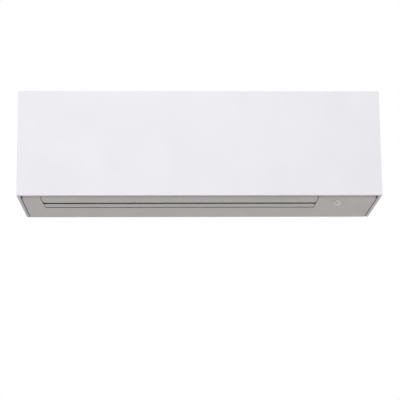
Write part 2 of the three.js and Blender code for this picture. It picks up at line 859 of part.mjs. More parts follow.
// The end walls follow the casing, so that the space behind it stays open to both sides.
function endWallProfile() {
  const bottom = shellWall + seatGap;
  const top = rearFloorUp + rearTroughRim;
  const front = undersideFront - shellWall - seatGap;
  const { high, low } = ductWall;
  return outline([
    [backWallOut + 1, top], [backWallOut + 1, top - endWallHead],
    ...casingPoints(endWallAngle, casingWall),
    [outletBack - endWallFoot, bottom], [undersideFront - undersideCorner, bottom],
    [front, bottom + 4], [front, undersideLip + 1], [low.x + 3, low.y],
    [high.x + ductWallThickness, high.y - 8], [fanOut + endWallPastFan, high.y + 10],
    [fanOut + endWallPastFan, top]]);
}

function baseChassis() {
  const end = coverInside - seatGap - chassisEndGap;
  const top = deckUnder - seatGap;
  const back = block([-end, end], [backWallOut, backWallFront], [pipeRecessUp, top]);
  const lip = block([-end, end], [backWallOut, backWallFront + backWallLip], [top - casingWall, top]);
  const shelf = block([leftWall - shelfPastWall, rightWall + cutReach],
    [backWallOut, casingOutAt(pipeRecessUp + shelfWall / 2)], [pipeRecessUp, pipeRecessUp + shelfWall]);
  const walls = [
    across(endWallProfile(), leftWall - casingWall, leftWall),
    across(endWallProfile(), rightWall, rightWall + casingWall),
  ];
  const feet = [-end, end - chassisFoot].map((x) => block([x, x + chassisFoot],
    [wallGap, backWallFront], [chassisFootLow, top]));
  const stops = [-wallStopSpacing, 0, wallStopSpacing].map((x) => block(
    [x - wallStopWidth / 2, x + wallStopWidth / 2], [wallGap, backWallOut + cutReach],
    [top - 2 * wallStopHeight, top - wallStopHeight]));
  const whole = joined([
    back, lip, shelf, casingScroll(), rearTrough(), ...walls, ...motorCradles(), ...feet, ...stops]);
  const hookHalf = plateHookWidth / 2 + plateHookSide;
  const cuts = plateHooks.map((x) => block([x - hookHalf, x + hookHalf],
    [backWallOut - cutReach, backWallFront + cutReach],
    [plateHookUp - plateHookLift, plateHookUp + plateHookWall + seatGap]));
  const [left, right] = [leftWall - casingWall - cutReach, rightWall + casingWall + cutReach];
  for (const out of [frontPivotOut, rearPivotOut]) {
    cuts.push(rodAcross(left, right, out, flapPivotUp, flapPinRadius + boreGap));
  }
  cuts.push(rodAcross(left, leftWall + cutReach, fanOut, fanUp, bearingRadius + seatGap, 24));
  cuts.push(rodAcross(rightWall - cutReach, right, fanOut, fanUp, motorOpening, 24));
  return piece('base_chassis', without(whole, cuts), innerPlastic);
}

// Two ribs off the back wall, each with a round seat under one of the motor's rubber bosses.
function motorCradles() {
  const seatRadius = motorBossRadius + seatGap;
  const front = fanOut + motorBossRadius + cradleWall;
  const profile = outline([
    [backWallOut + 1, pipeRecessUp + 4], [front, fanUp - motorBossRadius - cradleFoot],
    [front, fanUp - 2], [backWallOut + 1, fanUp + cradleRise]]);
  return [motorLeft - motorBossLength + 1, motorLeft + motorLength + 1].map((x) => {
    const [x0, x1] = [x - cutReach, x + cradleRib + cutReach];
    const seat = rodAcross(x0, x1, fanOut, fanUp, seatRadius, 24);
    const mouth = block([x0, x1], [fanOut - seatRadius, fanOut + seatRadius],
      [fanUp, fanUp + cradleRise + motorBossRadius]);
    return without(across(profile, x, x + cradleRib), [seat, mouth]);
  });
}

// ---------- Drain pan, which is also the outlet's front wall ----------

function drainPan() {
  const { high, low } = ductWall;
  const { back, front, floor, top } = trough;
  const t = panWall;
  const shape = outline([
    [high.x - 2, high.y + 7], [high.x, high.y], [low.x, low.y], [low.x + ductWallThickness, low.y],
    [high.x + ductWallThickness + 1.5, floor + 1], [front, floor], [front, top],
    [front - t, top], [front - t, floor + t], [back + t, floor + t],
    [back, frontCoilLow - 4], [high.x + 1, frontCoilLow - 1]]);
  const duct = across(shape, leftWall + seatGap, rightWall - seatGap);
  const sides = [[leftWall, -1], [rightWall, 1]];
  const ends = sides.map(([wall, side]) => {
    const tray = block(ordered(wall + side * panEndTray, wall - side * 2), [back + t, front], [floor, top]);
    const room = ordered(wall + side * (panEndTray - t), wall - side * (2 + cutReach));
    return tray.subtract(block(room, [back + 2 * t, front - t], [floor + t, top + cutReach]));
  });
  const pipes = sides.map(([wall, side]) => rodAcross(wall + side * (panEndTray - 1),
    wall + side * (panEndTray + spigotLength - 1), spigot.out, spigot.up, spigotRadius, 16));
  const bores = sides.map(([wall, side]) => rodAcross(wall + side * (panEndTray - t - 1),
    wall + side * (panEndTray + spigotLength), spigot.out, spigot.up, spigotBore));
  const pan = joined([duct, ...ends, ...pipes]);
  return piece('drain_pan', without(pan, [...bores, ...vaneBores()]), blackPlastic);
}

// A rubber plug in the left-hand spigot, its head against the spigot's end.
function drainPlug() {
  const stopper = rodAcross(0, plugLength, 0, 0, spigotBore - seatGap);
  const head = rodAcross(-plugHead, seatGap, 0, 0, spigotRadius);
  const plug = piece('drain_plug', stopper.add(head), rubber);
  plug.position.copy(at(leftWall - panEndTray - spigotLength + 1 - 2 * seatGap, spigot.out, spigot.up));
  return plug;
}

// ---------- Heat exchanger ----------

// Each pack's centre line, from its lower end to its upper end, in [out, up].
const coilApex = fanOut + coilApexFromFan;
const finPackLines = {
  fin_pack_rear: [rearCoilLow, new THREE.Vector2(coilApex - coilApexHalf, coilTop)],
  fin_pack_front_upper: [
    new THREE.Vector2(frontCoilOut - coilKneeStep, frontCoilLow + frontPackLength + coilKneeGap),
    new THREE.Vector2(coilApex + coilApexHalf, coilTop)],
  fin_pack_front_lower: [new THREE.Vector2(frontCoilOut, frontCoilLow),
    new THREE.Vector2(frontCoilOut, frontCoilLow + frontPackLength)],
};

// A pack lies along its local Z, with its finned outer face towards local -Y.
function finPack(name) {
  const [low, high] = finPackLines[name];
  const half = finPackThickness / 2;
  const width = coilX[1] - coilX[0];
  const count = Math.floor(width / finPitch);
  const pitch = width / count;
  const points = [[0, half], [0, -half]];
  for (let i = 0; i < count; i += 1) {
    const x = i * pitch;
    const next = i === count - 1 ? width - finThickness : x + pitch;
    points.push([x + finThickness, -half], [x + finThickness, -half + finGroove]);
    points.push([next, -half + finGroove], [next, -half]);
  }
  points.push([width, -half], [width, half]);
  const mesh = piece(name, upright(outline(points), 0, low.distanceTo(high)), finAluminium);
  mesh.position.copy(at(coilX[0], low.x, low.y));
  mesh.rotation.x = Math.atan2(high.x - low.x, high.y - low.y);
  return mesh;
}

// One bent plate over the ends of all the packs, from the rear pack over the top to the front.
function coilPlateOutline() {
  const half = finPackThickness / 2 - seatGap;
  const { fin_pack_rear: rear, fin_pack_front_upper: upper, fin_pack_front_lower: lower } = finPackLines;
  const runs = [rear, upper.slice().reverse(), lower.slice().reverse()];
  const outer = [];
  const inner = [];
  runs.forEach(([from, to], i) => {
    const along = to.clone().sub(from).normalize();
    const aside = new THREE.Vector2(-along.y, along.x).multiplyScalar(half);
    const start = from.clone().addScaledVector(along, i === 0 ? -endPlatePast : 0);
    const stop = to.clone().addScaledVector(along, i === runs.length - 1 ? endPlatePast : 0);
    outer.push(start.clone().add(aside), stop.clone().add(aside));
    inner.push(start.clone().sub(aside), stop.clone().sub(aside));
  });
  return outline([...outer, ...inner.reverse()].map((p) => [p.x, p.y]));
}

function coilEndPlate(name, x, side) {
  const plate = across(coilPlateOutline(), x, x + endPlateThickness);
  const face = side < 0 ? x : x + endPlateThickness;
  const bends = Object.values(finPackLines).flatMap(([low, high]) => [0.25, 0.75].map((share) => returnBend(
    low.clone().lerp(high, share), high.clone().sub(low).normalize(), face, side)));
  return piece(name, joined([plate, ...bends]), copper);
}

// A tube that leaves the end plate, turns round and goes back in beside itself.
function returnBend(centre, along, face, side) {
  const stations = [[-1, -0.5], [-1, 3], [-0.7, 8.5], [0, 11], [0.7, 8.5], [1, 3], [1, -0.5]];
  const path = new THREE.CatmullRomCurve3(stations.map(([sideways, away]) => {
    const spot = centre.clone().addScaledVector(along, sideways * returnBendRadius);
    return at(face + side * away, spot.x, spot.y);
  }));
  return tube(path, tubeRadius, 5, 6);
}

// ---------- Cross-flow fan ----------

function fanBlade(length) {
  const tip = fanRadius - fanBladeTipGap;
  const half = fanBladeThickness / 2;
  const middle = (fanBladeInner + tip) / 2;
  const centreLine = [
    [fanBladeInner, -fanBladeBow * 0.3], [middle, fanBladeBow * 0.55], [tip, -fanBladeBow * 0.9]];
  const points = [
    ...centreLine.map(([r, s]) => [r, s + half]),
    ...centreLine.slice().reverse().map(([r, s]) => [r, s - half])];
  return across(outline(points), 0, length);
}

// The discs and rings have as many sides as there are blades, and each blade stands on one side.
function crossFlowFan() {
  const length = fanX[1] - fanX[0];
  const ringBore = fanRadius - fanRingWidth;
  const parts = [];
  for (let i = 0; i <= fanSections; i += 1) {
    const x = (length - fanDisc) * i / fanSections;
    const disc = rodAcross(x, x + fanDisc, 0, 0, fanRadius, fanBlades);
    const bore = rodAcross(x - cutReach, x + fanDisc + cutReach, 0, 0, ringBore, fanBlades);
    parts.push(i > 0 && i < fanSections ? disc.subtract(bore) : disc);
  }
  const blade = fanBlade(length - fanDisc).translate(fanDisc / 2, 0, 0);
  for (let i = 0; i < fanBlades; i += 1) {
    parts.push(blade.rotate(360 * (i + 0.5) / fanBlades, 0, 0));
  }
  for (const x of [0, length - fanHubLength]) {
    parts.push(rodAcross(x, x + fanHubLength, 0, 0, shaftRadius + fanHubWall));
  }
  const bores = [[-cutReach, shaftInHub + 1], [length - shaftInHub - 1, length + cutReach]]
    .map(([x0, x1]) => rodAcross(x0, x1, 0, 0, shaftRadius + boreGap));
  const fan = piece('cross_flow_fan', without(joined(parts), bores), fanPlastic);
  fan.position.copy(at(fanX[0], fanOut, fanUp));
  return fan;
}

function fanEndShaft() {
  return piece('fan_end_shaft',
    rodAcross(leftWall - casingWall - 7, fanX[0] + shaftInHub, fanOut, fanUp, shaftRadius), zincSteel);
}

function fanBearing() {
  const outside = leftWall - casingWall;
  const flange = rodAcross(outside - 3, outside - seatGap, fanOut, fanUp, bearingRadius + bearingFlange, 24);
  const bush = rodAcross(outside - 1, leftWall + 3, fanOut, fanUp, bearingRadius, 24);
  const bore = rodAcross(outside - 5, leftWall + 5, fanOut, fanUp, shaftRadius + boreGap);
  return piece('fan_bearing', flange.add(bush).subtract(bore), rubber);
}

function fanMotor() {
  const length = motorLength;
  const boss = motorBossRadius;
  const shoulder = motorRadius - motorChamfer;
  const points = [
    [0, -motorBossLength], [boss - 1, -motorBossLength], [boss, -motorBossLength + 1], [boss, 0],
    [shoulder, 0], [motorRadius, motorChamfer], [motorRadius, length - motorChamfer], [shoulder, length],
    [boss, length], [boss, length + motorBossLength], [0, length + motorBossLength]];
  const body = new THREE.LatheGeometry(points.map(([r, x]) => new THREE.Vector2(r, x)), 24)
    .rotateZ(-Math.PI / 2);
  const bore = rodAcross(-2 * motorBossLength, length + 2 * motorBossLength, 0, 0, shaftRadius + boreGap);
  const motor = piece('fan_motor', toSolid(body).subtract(bore), zincSteel);
  motor.position.copy(at(motorLeft, fanOut, fanUp));
  return motor;
}

function motorShaft() {
  return piece('motor_shaft', rodAcross(fanX[1] - shaftInHub, motorLeft + motorLength + motorBossLength - 2,
    fanOut, fanUp, shaftRadius), zincSteel);
}

// A strap over the motor, with a tab on each side at the height of the shaft.
function motorBracket() {
  const inner = motorRadius + seatGap;
  const outer = inner + strapWall;
  const beyond = [-cutReach, strapWidth + cutReach];
  const band = rodAcross(0, strapWidth, 0, 0, outer, 24).subtract(rodAcross(...beyond, 0, 0, inner, 24));
  const lower = block(beyond, [-outer - cutReach, outer + cutReach], [-outer - cutReach, 0]);
  const tabs = [-1, 1].map((side) => block([0, strapWidth],
    ordered(side * (inner + 0.2), side * (outer + strapTab)), [0, strapWall + 0.5]));
  const bracket = piece('motor_bracket', joined([band.subtract(lower), ...tabs]), zincSteel);
  bracket.position.copy(at(motorLeft + (motorLength - strapWidth) / 2, fanOut, fanUp));
  return bracket;
}

// ---------- Flaps ----------

// A flap is drawn about its pivot, which is its local origin.
function flap(name, pivotOut, backOut, frontOut, turnedUp) {
  const up = (height) => height - flapPivotUp;
  const front = frontOut - pivotOut;
  const back = backOut - pivotOut;
  const [left, right] = [outletLeft + flapEndGap, outletRight - flapEndGap];
  const r = turnedUp ? undersideCorner : flapTip / 2;
  const t = flapThickness;
  const lip = front - flapLipWall;
  const shape = new THREE.Shape();
  shape.moveTo(back + 1, up(0));
  shape.lineTo(front - r, up(0));
  shape.absarc(front - r, up(r), r, -Math.PI / 2, turnedUp ? 0 : Math.PI / 2, false);
  if (turnedUp) {
    shape.lineTo(front, up(flapTurnUp));
    shape.lineTo(lip, up(flapTurnUp));
    shape.lineTo(lip, up(r));
    shape.lineTo(lip - flapInnerSlope, up(t));
  } else {
    shape.lineTo(front - flapTipTaper, up(t));
  }
  shape.lineTo(back, up(t));
  shape.lineTo(back, up(1));
  const plan = upright(outletPlan(flapEndGap, backOut - flapTail, undersideFront + cutReach),
    -flapBarrelRadius * 2, flapTurnUp).translate(0, pivotOut, 0);
  const barrel = rodAcross(left + flapBarrelInset, right - flapBarrelInset, 0, 0, flapBarrelRadius);
  const web = block([left + flapWebInset, right - flapWebInset], [-1.5, 1.5], [up(1), 0]);
  const pins = [
    rodAcross(leftWall - casingWall - 2, outletLeft + flapPinInset, 0, 0, flapPinRadius),
    rodAcross(outletRight - flapPinInset, rightWall + casingWall + flapPinInStepper, 0, 0, flapPinRadius),
  ];
  const body = joined([across(shape, left, right).intersect(plan), barrel.intersect(plan), web, ...pins]);
  const mesh = piece(name, body, greyPlastic);
  mesh.position.copy(at(0, pivotOut, flapPivotUp));
  return mesh;
}

// A small gearmotor whose output sits off its centre, with a bore that takes the flap's pin.
function flapStepper(name, out) {
  const x0 = seatGap;
  const body = rodAcross(x0, x0 + flapStepperLength, 0, flapStepperRise, flapStepperRadius, 20);
  const earReach = flapStepperRadius + flapStepperEar;
  const ears = block([x0, x0 + earThickness], [-earReach, earReach],
    [flapStepperRise - earWidth / 2, flapStepperRise + earWidth / 2]);
  const bore = rodAcross(x0 - cutReach, flapPinInStepper + 2, 0, 0, flapPinRadius + boreGap);
  const mesh = piece(name, body.add(ears).subtract(bore), zincSteel);
  mesh.position.copy(at(rightWall + casingWall, out, flapPivotUp));
  return mesh;
}

// ---------- Vanes, in a frame that stands on the outlet's front wall ----------

// Local Y runs down the wall with the air, and local Z runs off the wall into the duct.
function vaneFrame() {
  const { high, low } = ductWall;
  const down = low.clone().sub(high).normalize();
  const spot = high.clone().addScaledVector(down, vaneBelowLip);
  const frame = new THREE.Group();
  frame.position.copy(at(0, spot.x, spot.y));
  frame.rotation.x = Math.atan2(down.y, -down.x);
  return frame;
}

function vaneXs(group) {
  const middle = (outletLeft + outletRight) / 2;
  const [x0, x1] = group === 0 ? [outletLeft, middle] : [middle, outletRight];
  return span(x0, x1, vanesPerGroup);
}

function rodOffWall(x, y, [low, high], radius, sides = 8) {
  return rod(new THREE.Vector3(x, y, low), new THREE.Vector3(x, y, high), radius, sides);
}

function vaneBores() {
  const frame = vaneFrame();
  frame.updateMatrixWorld(true);
  const toUnit = frame.matrixWorld.toArray();
  return [0, 1].flatMap((group) => vaneXs(group).map((x) => rodOffWall(
    x, 0, [-2 * ductWallThickness, 2], vaneStemRadius + boreGap).transform(toUnit)));
}

function vaneSolid(stemLength) {
  const top = vaneReach + 2;
  const foot = vaneFootGap;
  const shape = new THREE.Shape();
  shape.moveTo(-vaneNose + 4, foot);
  shape.lineTo(vaneTail, foot);
  shape.lineTo(vaneTail - 3, top / 2);
  shape.lineTo(vaneTail - vaneCorner, top);
  shape.lineTo(-vaneNose + 5, top);
  shape.quadraticCurveTo(-vaneNose - 2, vaneReach / 2, -vaneNose + 4, foot);
  const geometry = new THREE.ExtrudeGeometry(shape,
    { depth: vaneThickness, bevelEnabled: false, curveSegments: 4 });
  const stand = new THREE.Matrix4().makeBasis(
    new THREE.Vector3(0, 1, 0), new THREE.Vector3(0, 0, 1), new THREE.Vector3(1, 0, 0));
  const plate = toSolid(geometry.applyMatrix4(stand).translate(-vaneThickness / 2, 0, 0));
  const stem = rodOffWall(0, 0, [-stemLength, foot + 2], vaneStemRadius);
  const bossLow = top - vaneLinkBossHeight;
  const boreRadius = vaneLinkPinRadius + boreGap;
  const boss = rodOffWall(0, -vaneLinkOffset, [bossLow, top], boreRadius + vaneLinkBossWall);
  const bore = rodOffWall(0, -vaneLinkOffset, [bossLow + vaneLinkBossWall, top + cutReach], boreRadius);
  return joined([plate, stem, boss]).subtract(bore);
}

function vanes(group) {
  return vaneXs(group).map((x, i) => {
    const stem = i === 0 ? panWall + drivenStem : ductWallThickness;
    const mesh = piece(`vane_${group * vanesPerGroup + i + 1}`, vaneSolid(stem), blackPlastic);
    mesh.position.x = x;
    return mesh;
  });
}

function tieBar(name, group) {
  const xs = vaneXs(group);
  const low = vaneReach + 2 + seatGap;
  const pinLow = vaneReach + 2 - vaneLinkBossHeight + vaneLinkBossWall + 2 * seatGap;
  const strip = block([xs[0] - tieBarWidth, xs[vanesPerGroup - 1] + tieBarWidth],
    [vaneLinkOffset - tieBarWidth / 2, vaneLinkOffset + tieBarWidth / 2], [low, low + tieBarThickness]);
  const pins = xs.map((x) => rodOffWall(x, -vaneLinkOffset, [pinLow, low + 1], vaneLinkPinRadius));
  return piece(name, joined([strip, ...pins]), blackPlastic);
}

function vaneStepper(name, group) {
  const back = -ductWallThickness;
  const earReach = vaneStepperRadius + vaneStepperEar;
  const body = rodOffWall(0, 0, [back - vaneStepperLength, back], vaneStepperRadius, 20);
  const ears = block([-earReach, earReach], [-earWidth / 2, earWidth / 2], [back - earThickness, back]);
  const boreEnd = -panWall - drivenStem - 2 * seatGap;
  const bore = rodOffWall(0, 0, [boreEnd, back + cutReach], vaneStemRadius + boreGap);
  const mesh = piece(name, body.add(ears).subtract(bore), zincSteel);
  mesh.position.x = vaneXs(group)[0];
  return mesh;
}

// ---------- Filters: a flat screen over the deck and a leg down in front of the coil ----------

function filter(name, [x0, x1]) {
  const t = filterThickness;
  const low = deckUp + seatGap;
  const front = filterLegOut + t;
  const middle = (x0 + x1) / 2;
  const sheet = block([x0, x1], [filterBack, front], [low, low + t]);
  const leg = block([x0, x1], [filterLegOut, front], [filterLow, low + t]);
  const gripBack = front - filterGripFromFront;
  const grip = block([middle - filterGripWidth / 2, middle + filterGripWidth / 2],
    [gripBack, gripBack + filterThinBar], [low + 1, low + t + filterGripRise]);
  const thin = filterThinBar / 2;
  const width = (x1 - x0 - filterBar) / filterColumns;
  const sheetMiddle = (filterBack + front) / 2;
  const legMiddle = (filterLow + deckUp) / 2;
  const cuts = [];
  for (const x of span(x0 + filterBar / 2, x1 - filterBar / 2, filterColumns)) {
    const reach = [x - width / 2 + thin, x + width / 2 - thin];
    const sheetGaps = [[filterBack + filterBar, sheetMiddle - thin], [sheetMiddle + thin, gripBack - 2]];
    const legGaps = [[filterLow + filterBar, legMiddle - thin], [legMiddle + thin, deckUp - filterBar - 1]];
    cuts.push(...sheetGaps.map((gap) => block(reach, gap, [low - cutReach, low + t + cutReach])));
    cuts.push(...legGaps.map((gap) => block(reach, [filterLegOut - cutReach, front + cutReach], gap)));
  }
  return piece(name, without(joined([sheet, leg, grip]), cuts), blackPlastic);
}

// ---------- Mounting plate ----------

function mountingPlate() {
  const half = plateWidth / 2;
  const low = plateLow;
  const high = bodyHeight - plateBelowTop;
  const corner = plateCorner;
  const through = [-cutReach, plateThickness + cutReach];
  const plate = facing(outline([
    [-half, low + corner], [-half + corner, low], [half - corner, low], [half, low + corner],
    [half, high - corner], [half - corner, high], [-half + corner, high], [-half, high - corner]]),
  0, plateThickness);
  const windows = [];
  for (const x of span(-half + 2 * plateWindowEdge, half - 2 * plateWindowEdge, plateWindowColumns)) {
    for (const windowLow of [low + plateWindowEdge, bodyHeight / 2 + plateWindowAboveHoles]) {
      windows.push(block([x - plateWindowWidth / 2, x + plateWindowWidth / 2], through,
        [windowLow, windowLow + plateWindowHeight]));
    }
  }
  const holes = plateHoles.map((x) => rodOut(x, through, bodyHeight / 2, plateHoleRadius));
  const hookTip = backWallFront + plateHookWall + 1;
  const hook = outline([
    [0.5, plateHookUp], [hookTip, plateHookUp], [hookTip, plateHookUp + plateHookRise],
    [hookTip - plateHookWall, plateHookUp + plateHookRise],
    [hookTip - plateHookWall, plateHookUp + plateHookWall], [0.5, plateHookUp + plateHookWall]]);
  const hooks = plateHooks.map((x) => across(hook, x - plateHookWidth / 2, x + plateHookWidth / 2));
  const catchUp = pipeRecessUp - seatGap;
  const catchShape = outline([
    [0.5, low + 1], [0.5, catchUp - plateThickness], [backWallOut + 2, catchUp - plateThickness],
    [backWallOut + 2, catchUp], [plateThickness + seatGap, catchUp], [plateThickness + seatGap, low + 1]]);
  const catchHalf = plateCatchWidth / 2;
  const catches = plateCatches.map((x) => across(catchShape, x - catchHalf, x + catchHalf));
  const sheet = without(plate, [...windows, ...holes]);
  return piece('mounting_plate', joined([sheet, ...hooks, ...catches]), zincSteel);
}

// ---------- Pipes in the recess behind the fan casing ----------

function coilPipe(name, line, radius, bayX, start) {
  const path = new THREE.CatmullRomCurve3([
    at(coilX[1] + endPlateThickness + 1, start.x, start.y),
    at(bayX - pipeBendNear, start.x, start.y),
    at(bayX, start.x - 4, start.y - 10),
    at(bayX, line.out + 2, start.y - 40),
    at(bayX, line.out, line.up + pipeStraight),
    at(bayX, line.out, line.up + pipeBendFar),
    at(bayX - pipeBendNear, line.out, line.up + pipeBendNear),
    at(bayX - pipeBendFar, line.out, line.up),
    at(bayX - pipeStraight, line.out, line.up),
    at((bayX + pipeEnd) / 2, line.out, line.up),
    at(pipeEnd, line.out, line.up),
  ], false, 'centripetal');
  return piece(name, tube(path, radius, 22, 8), copper);
}

function flareNut(name, line, pipeRadius) {
  const collarEnd = -nutLength - nutCollar;
  const hex = rodAcross(-nutLength, 0, 0, 0, pipeRadius * 2 + nutWall, 6);
  const collar = rodAcross(collarEnd, -nutLength + cutReach, 0, 0, pipeRadius + 2);
  const bore = rodAcross(-nutBore, cutReach, 0, 0, pipeRadius + boreGap);
  const thread = rodAcross(collarEnd - cutReach, -nutBore - 4, 0, 0, pipeRadius);
  const mesh = piece(name, without(hex.add(collar), [bore, thread]), brass);
  mesh.position.copy(at(pipeEnd + nutBore - 1, line.out, line.up));
  return mesh;
}

// A moulded clamp under the recess shelf that holds both pipes.
function pipeClamp() {
  const [x0, x1] = [clampX - clampWidth / 2, clampX + clampWidth / 2];
  const beyond = [x0 - cutReach, x1 + cutReach];
  const body = block([x0, x1], [gasLine.out - 10, liquidLine.out + 6],
    [liquidLine.up - 8, pipeRecessUp - seatGap]);
  return piece('pipe_clamp', without(body, [
    rodAcross(...beyond, gasLine.out, gasLine.up, gasPipeRadius + boreGap),
    rodAcross(...beyond, liquidLine.out, liquidLine.up, liquidPipeRadius + boreGap),
  ]), blackPlastic);
}

// ---------- Electrics in the right-hand bay ----------

function controlBox() {
  const [x0, x1] = boxX;
  const [low, high] = boxUp;
  const back = backWallFront + seatGap;
  const body = block(boxX, [back, boxFront], boxUp);
  const room = block([x0 + boxWall, x1 - boxWall], [back + boxWall, boxFront + cutReach],
    [low + boxWall, high - boxWall]);
  const posts = [low + 30, high - 30].map((up) => rodOut(boxMiddle,
    [back + seatGap, backWallFront + boardStandOff], up, 4));
  return piece('control_box', joined([body.subtract(room), ...posts]), innerPlastic);
}

function controlBoard() {
  const back = backWallFront + boardStandOff + seatGap;
  const [low, high] = [boxUp[0] + boardMargin, boxUp[1] - boardMargin];
  const half = (boxX[1] - boxX[0]) / 2 - 2 * boxWall;
  const x = boxMiddle;
  const face = back + 1;
  const board = block([x - half, x + half], [back, back + boardThickness], [low, high]);
  const capacitors = [[-14, 52], [10, 56]].map(([dx, up]) => rodOut(
    x + dx, [face, face + capacitorLength], low + up, capacitorRadius, 12));
  const transformerTop = high - transformerBelowTop;
  const transformer = block([x - transformerHalf, x + transformerHalf], [face, face + transformerDepth],
    [transformerTop - transformerHeight, transformerTop]);
  const relayTop = high - relayBelowTop;
  const relays = [-16, 2].map((dx) => block([x + dx, x + dx + relayWidth],
    [face, face + relayDepth], [relayTop - relayHeight, relayTop]));
  return piece('control_board', joined([board, ...capacitors, transformer, ...relays]), boardGreen);
}

function controlBoxCover() {
  const [x0, x1] = boxX;
  const [low, high] = boxUp;
  const back = boxFront + seatGap;
  const rimGap = boxWall + seatGap;
  const inner = rimGap + coverRimWall;
  const plate = block(boxX, [back, back + boxWall], boxUp);
  const rim = block([x0 + rimGap, x1 - rimGap], [boxFront - coverRimDepth, back + 1],
    [low + rimGap, high - rimGap]);
  const room = block([x0 + inner, x1 - inner], [boxFront - coverRimDepth - cutReach, back],
    [low + inner, high - inner]);
  return piece('control_box_cover', joined([plate, rim]).subtract(room), zincSteel);
}

function terminalBlock() {
  const back = boxFront + 2 * seatGap + boxWall;
  const front = back + terminalDepth;
  const half = terminalWidth / 2;
  const low = boxUp[0] + 6;
  const high = low + terminalHeight;
  const base = block([boxMiddle - half, boxMiddle + half], [back, front], [low, high]);
  const slots = span(boxMiddle - half + 2, boxMiddle + half - 2, 4).map((x) => block([x - 4.5, x + 4.5],
    [back + 6, front + cutReach], [low + 6, high + cutReach]));
  return piece('terminal_block', without(base, slots), blackPlastic);
}

// ---------- Manual button behind the panel ----------

// The button and its switch are drawn about the front frame's face.
function manualButton() {
  const flangeFront = -frameWall - seatGap;
  const button = piece('manual_button', joined([
    rodOut(0, [flangeFront - 1.5, buttonProud], 0, buttonRadius, 20),
    rodOut(0, [flangeFront - 2, flangeFront], 0, buttonRadius + buttonFlange, 20),
    rodOut(0, [buttonStemEnd, -frameWall], 0, postRadius),
  ]), greyPlastic);
  button.position.copy(at(buttonX, frameFront, buttonUp));
  return button;
}

function switchBoard() {
  const half = buttonPostSpread + 6;
  const face = -switchBoardDepth;
  const board = block([-half, half], [face - boardThickness, face], [-9, 9]);
  const contact = block([-4, 4], [face - seatGap, buttonStemEnd - buttonTravel - seatGap], [-4, 4]);
  const mesh = piece('switch_board', joined([board, contact]), boardGreen);
  mesh.position.copy(at(buttonX, frameFront, buttonUp));
  return mesh;
}

function frameScrew(number, x) {
  const headFront = seatGap + screwHeadHeight;
  const head = rodOut(0, [seatGap, headFront], 0, screwHeadRadius, 12);
  const shank = rodOut(0, [-screwLength, 1], 0, screwRadius);
  const slot = block([-3, 3], [headFront - 0.7, headFront + seatGap], [-0.5, 0.5]);
  const mesh = piece(`frame_screw_${number}`, head.add(shank).subtract(slot), zincSteel);
  mesh.position.copy(at(x, frameFront, frameScrewUp));
  return mesh;
}

// ---------- Assembly ----------

const [leftSpan, rightSpan] = filterSpans();

const casing = new THREE.Group();
casing.add(mountingPlate(), baseChassis(), bottomCover(), frontFrame(), intakeGrille(), frontPanel());
casing.add(sideCover('side_cover_left', -1), sideCover('side_cover_right', 1));
casing.add(...frameScrewXs.map((x, i) => frameScrew(i + 1, x)));

const airPath = new THREE.Group();
airPath.add(crossFlowFan(), fanEndShaft(), fanBearing(), fanMotor(), motorShaft(), motorBracket());
airPath.add(filter('filter_left', leftSpan), filter('filter_right', rightSpan));
airPath.add(drainPan(), drainPlug());
airPath.add(flap('front_flap', frontPivotOut, frontFlapBack, undersideFront, true));
airPath.add(flap('rear_flap', rearPivotOut, rearFlapBack, rearFlapBack + rearFlapDepth, false));
airPath.add(flapStepper('front_flap_stepper', frontPivotOut), flapStepper('rear_flap_stepper', rearPivotOut));

const louvres = vaneFrame();
louvres.add(...vanes(0), ...vanes(1));
louvres.add(tieBar('tie_bar_left', 0), tieBar('tie_bar_right', 1));
louvres.add(vaneStepper('vane_stepper_left', 0), vaneStepper('vane_stepper_right', 1));
airPath.add(louvres);

const coil = new THREE.Group();
coil.add(...Object.keys(finPackLines).map((name) => finPack(name)));
coil.add(coilEndPlate('coil_end_plate_left', coilX[0] - seatGap - endPlateThickness, -1));
coil.add(coilEndPlate('coil_end_plate_right', coilX[1] + seatGap, 1));
const [gasStart, liquidStart] = [finPackLines.fin_pack_rear, finPackLines.fin_pack_front_upper]
  .map(([low, high]) => low.clone().lerp(high, 0.5));
coil.add(coilPipe('gas_pipe', gasLine, gasPipeRadius, rightWall + gasPipeBay, gasStart));
coil.add(coilPipe('liquid_pipe', liquidLine, liquidPipeRadius, rightWall + liquidPipeBay, liquidStart));
coil.add(flareNut('gas_flare_nut', gasLine, gasPipeRadius));
coil.add(flareNut('liquid_flare_nut', liquidLine, liquidPipeRadius));
coil.add(pipeClamp());

const electrics = new THREE.Group();
electrics.add(controlBox(), controlBoard(), controlBoxCover(), terminalBlock());
electrics.add(sensorLens(), sensorBoard(), manualButton(), switchBoard());

const unit = new THREE.Group();
unit.add(casing, airPath, coil, electrics);

// The origin is on the wall, half way along and half way up the unit.
unit.position.z = -bodyHeight / 2;

const indoorUnit = new THREE.Group();
indoorUnit.add(unit);

export default indoorUnit;
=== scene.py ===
import json
import math
import bpy
import bmesh
from mathutils import Matrix, Vector


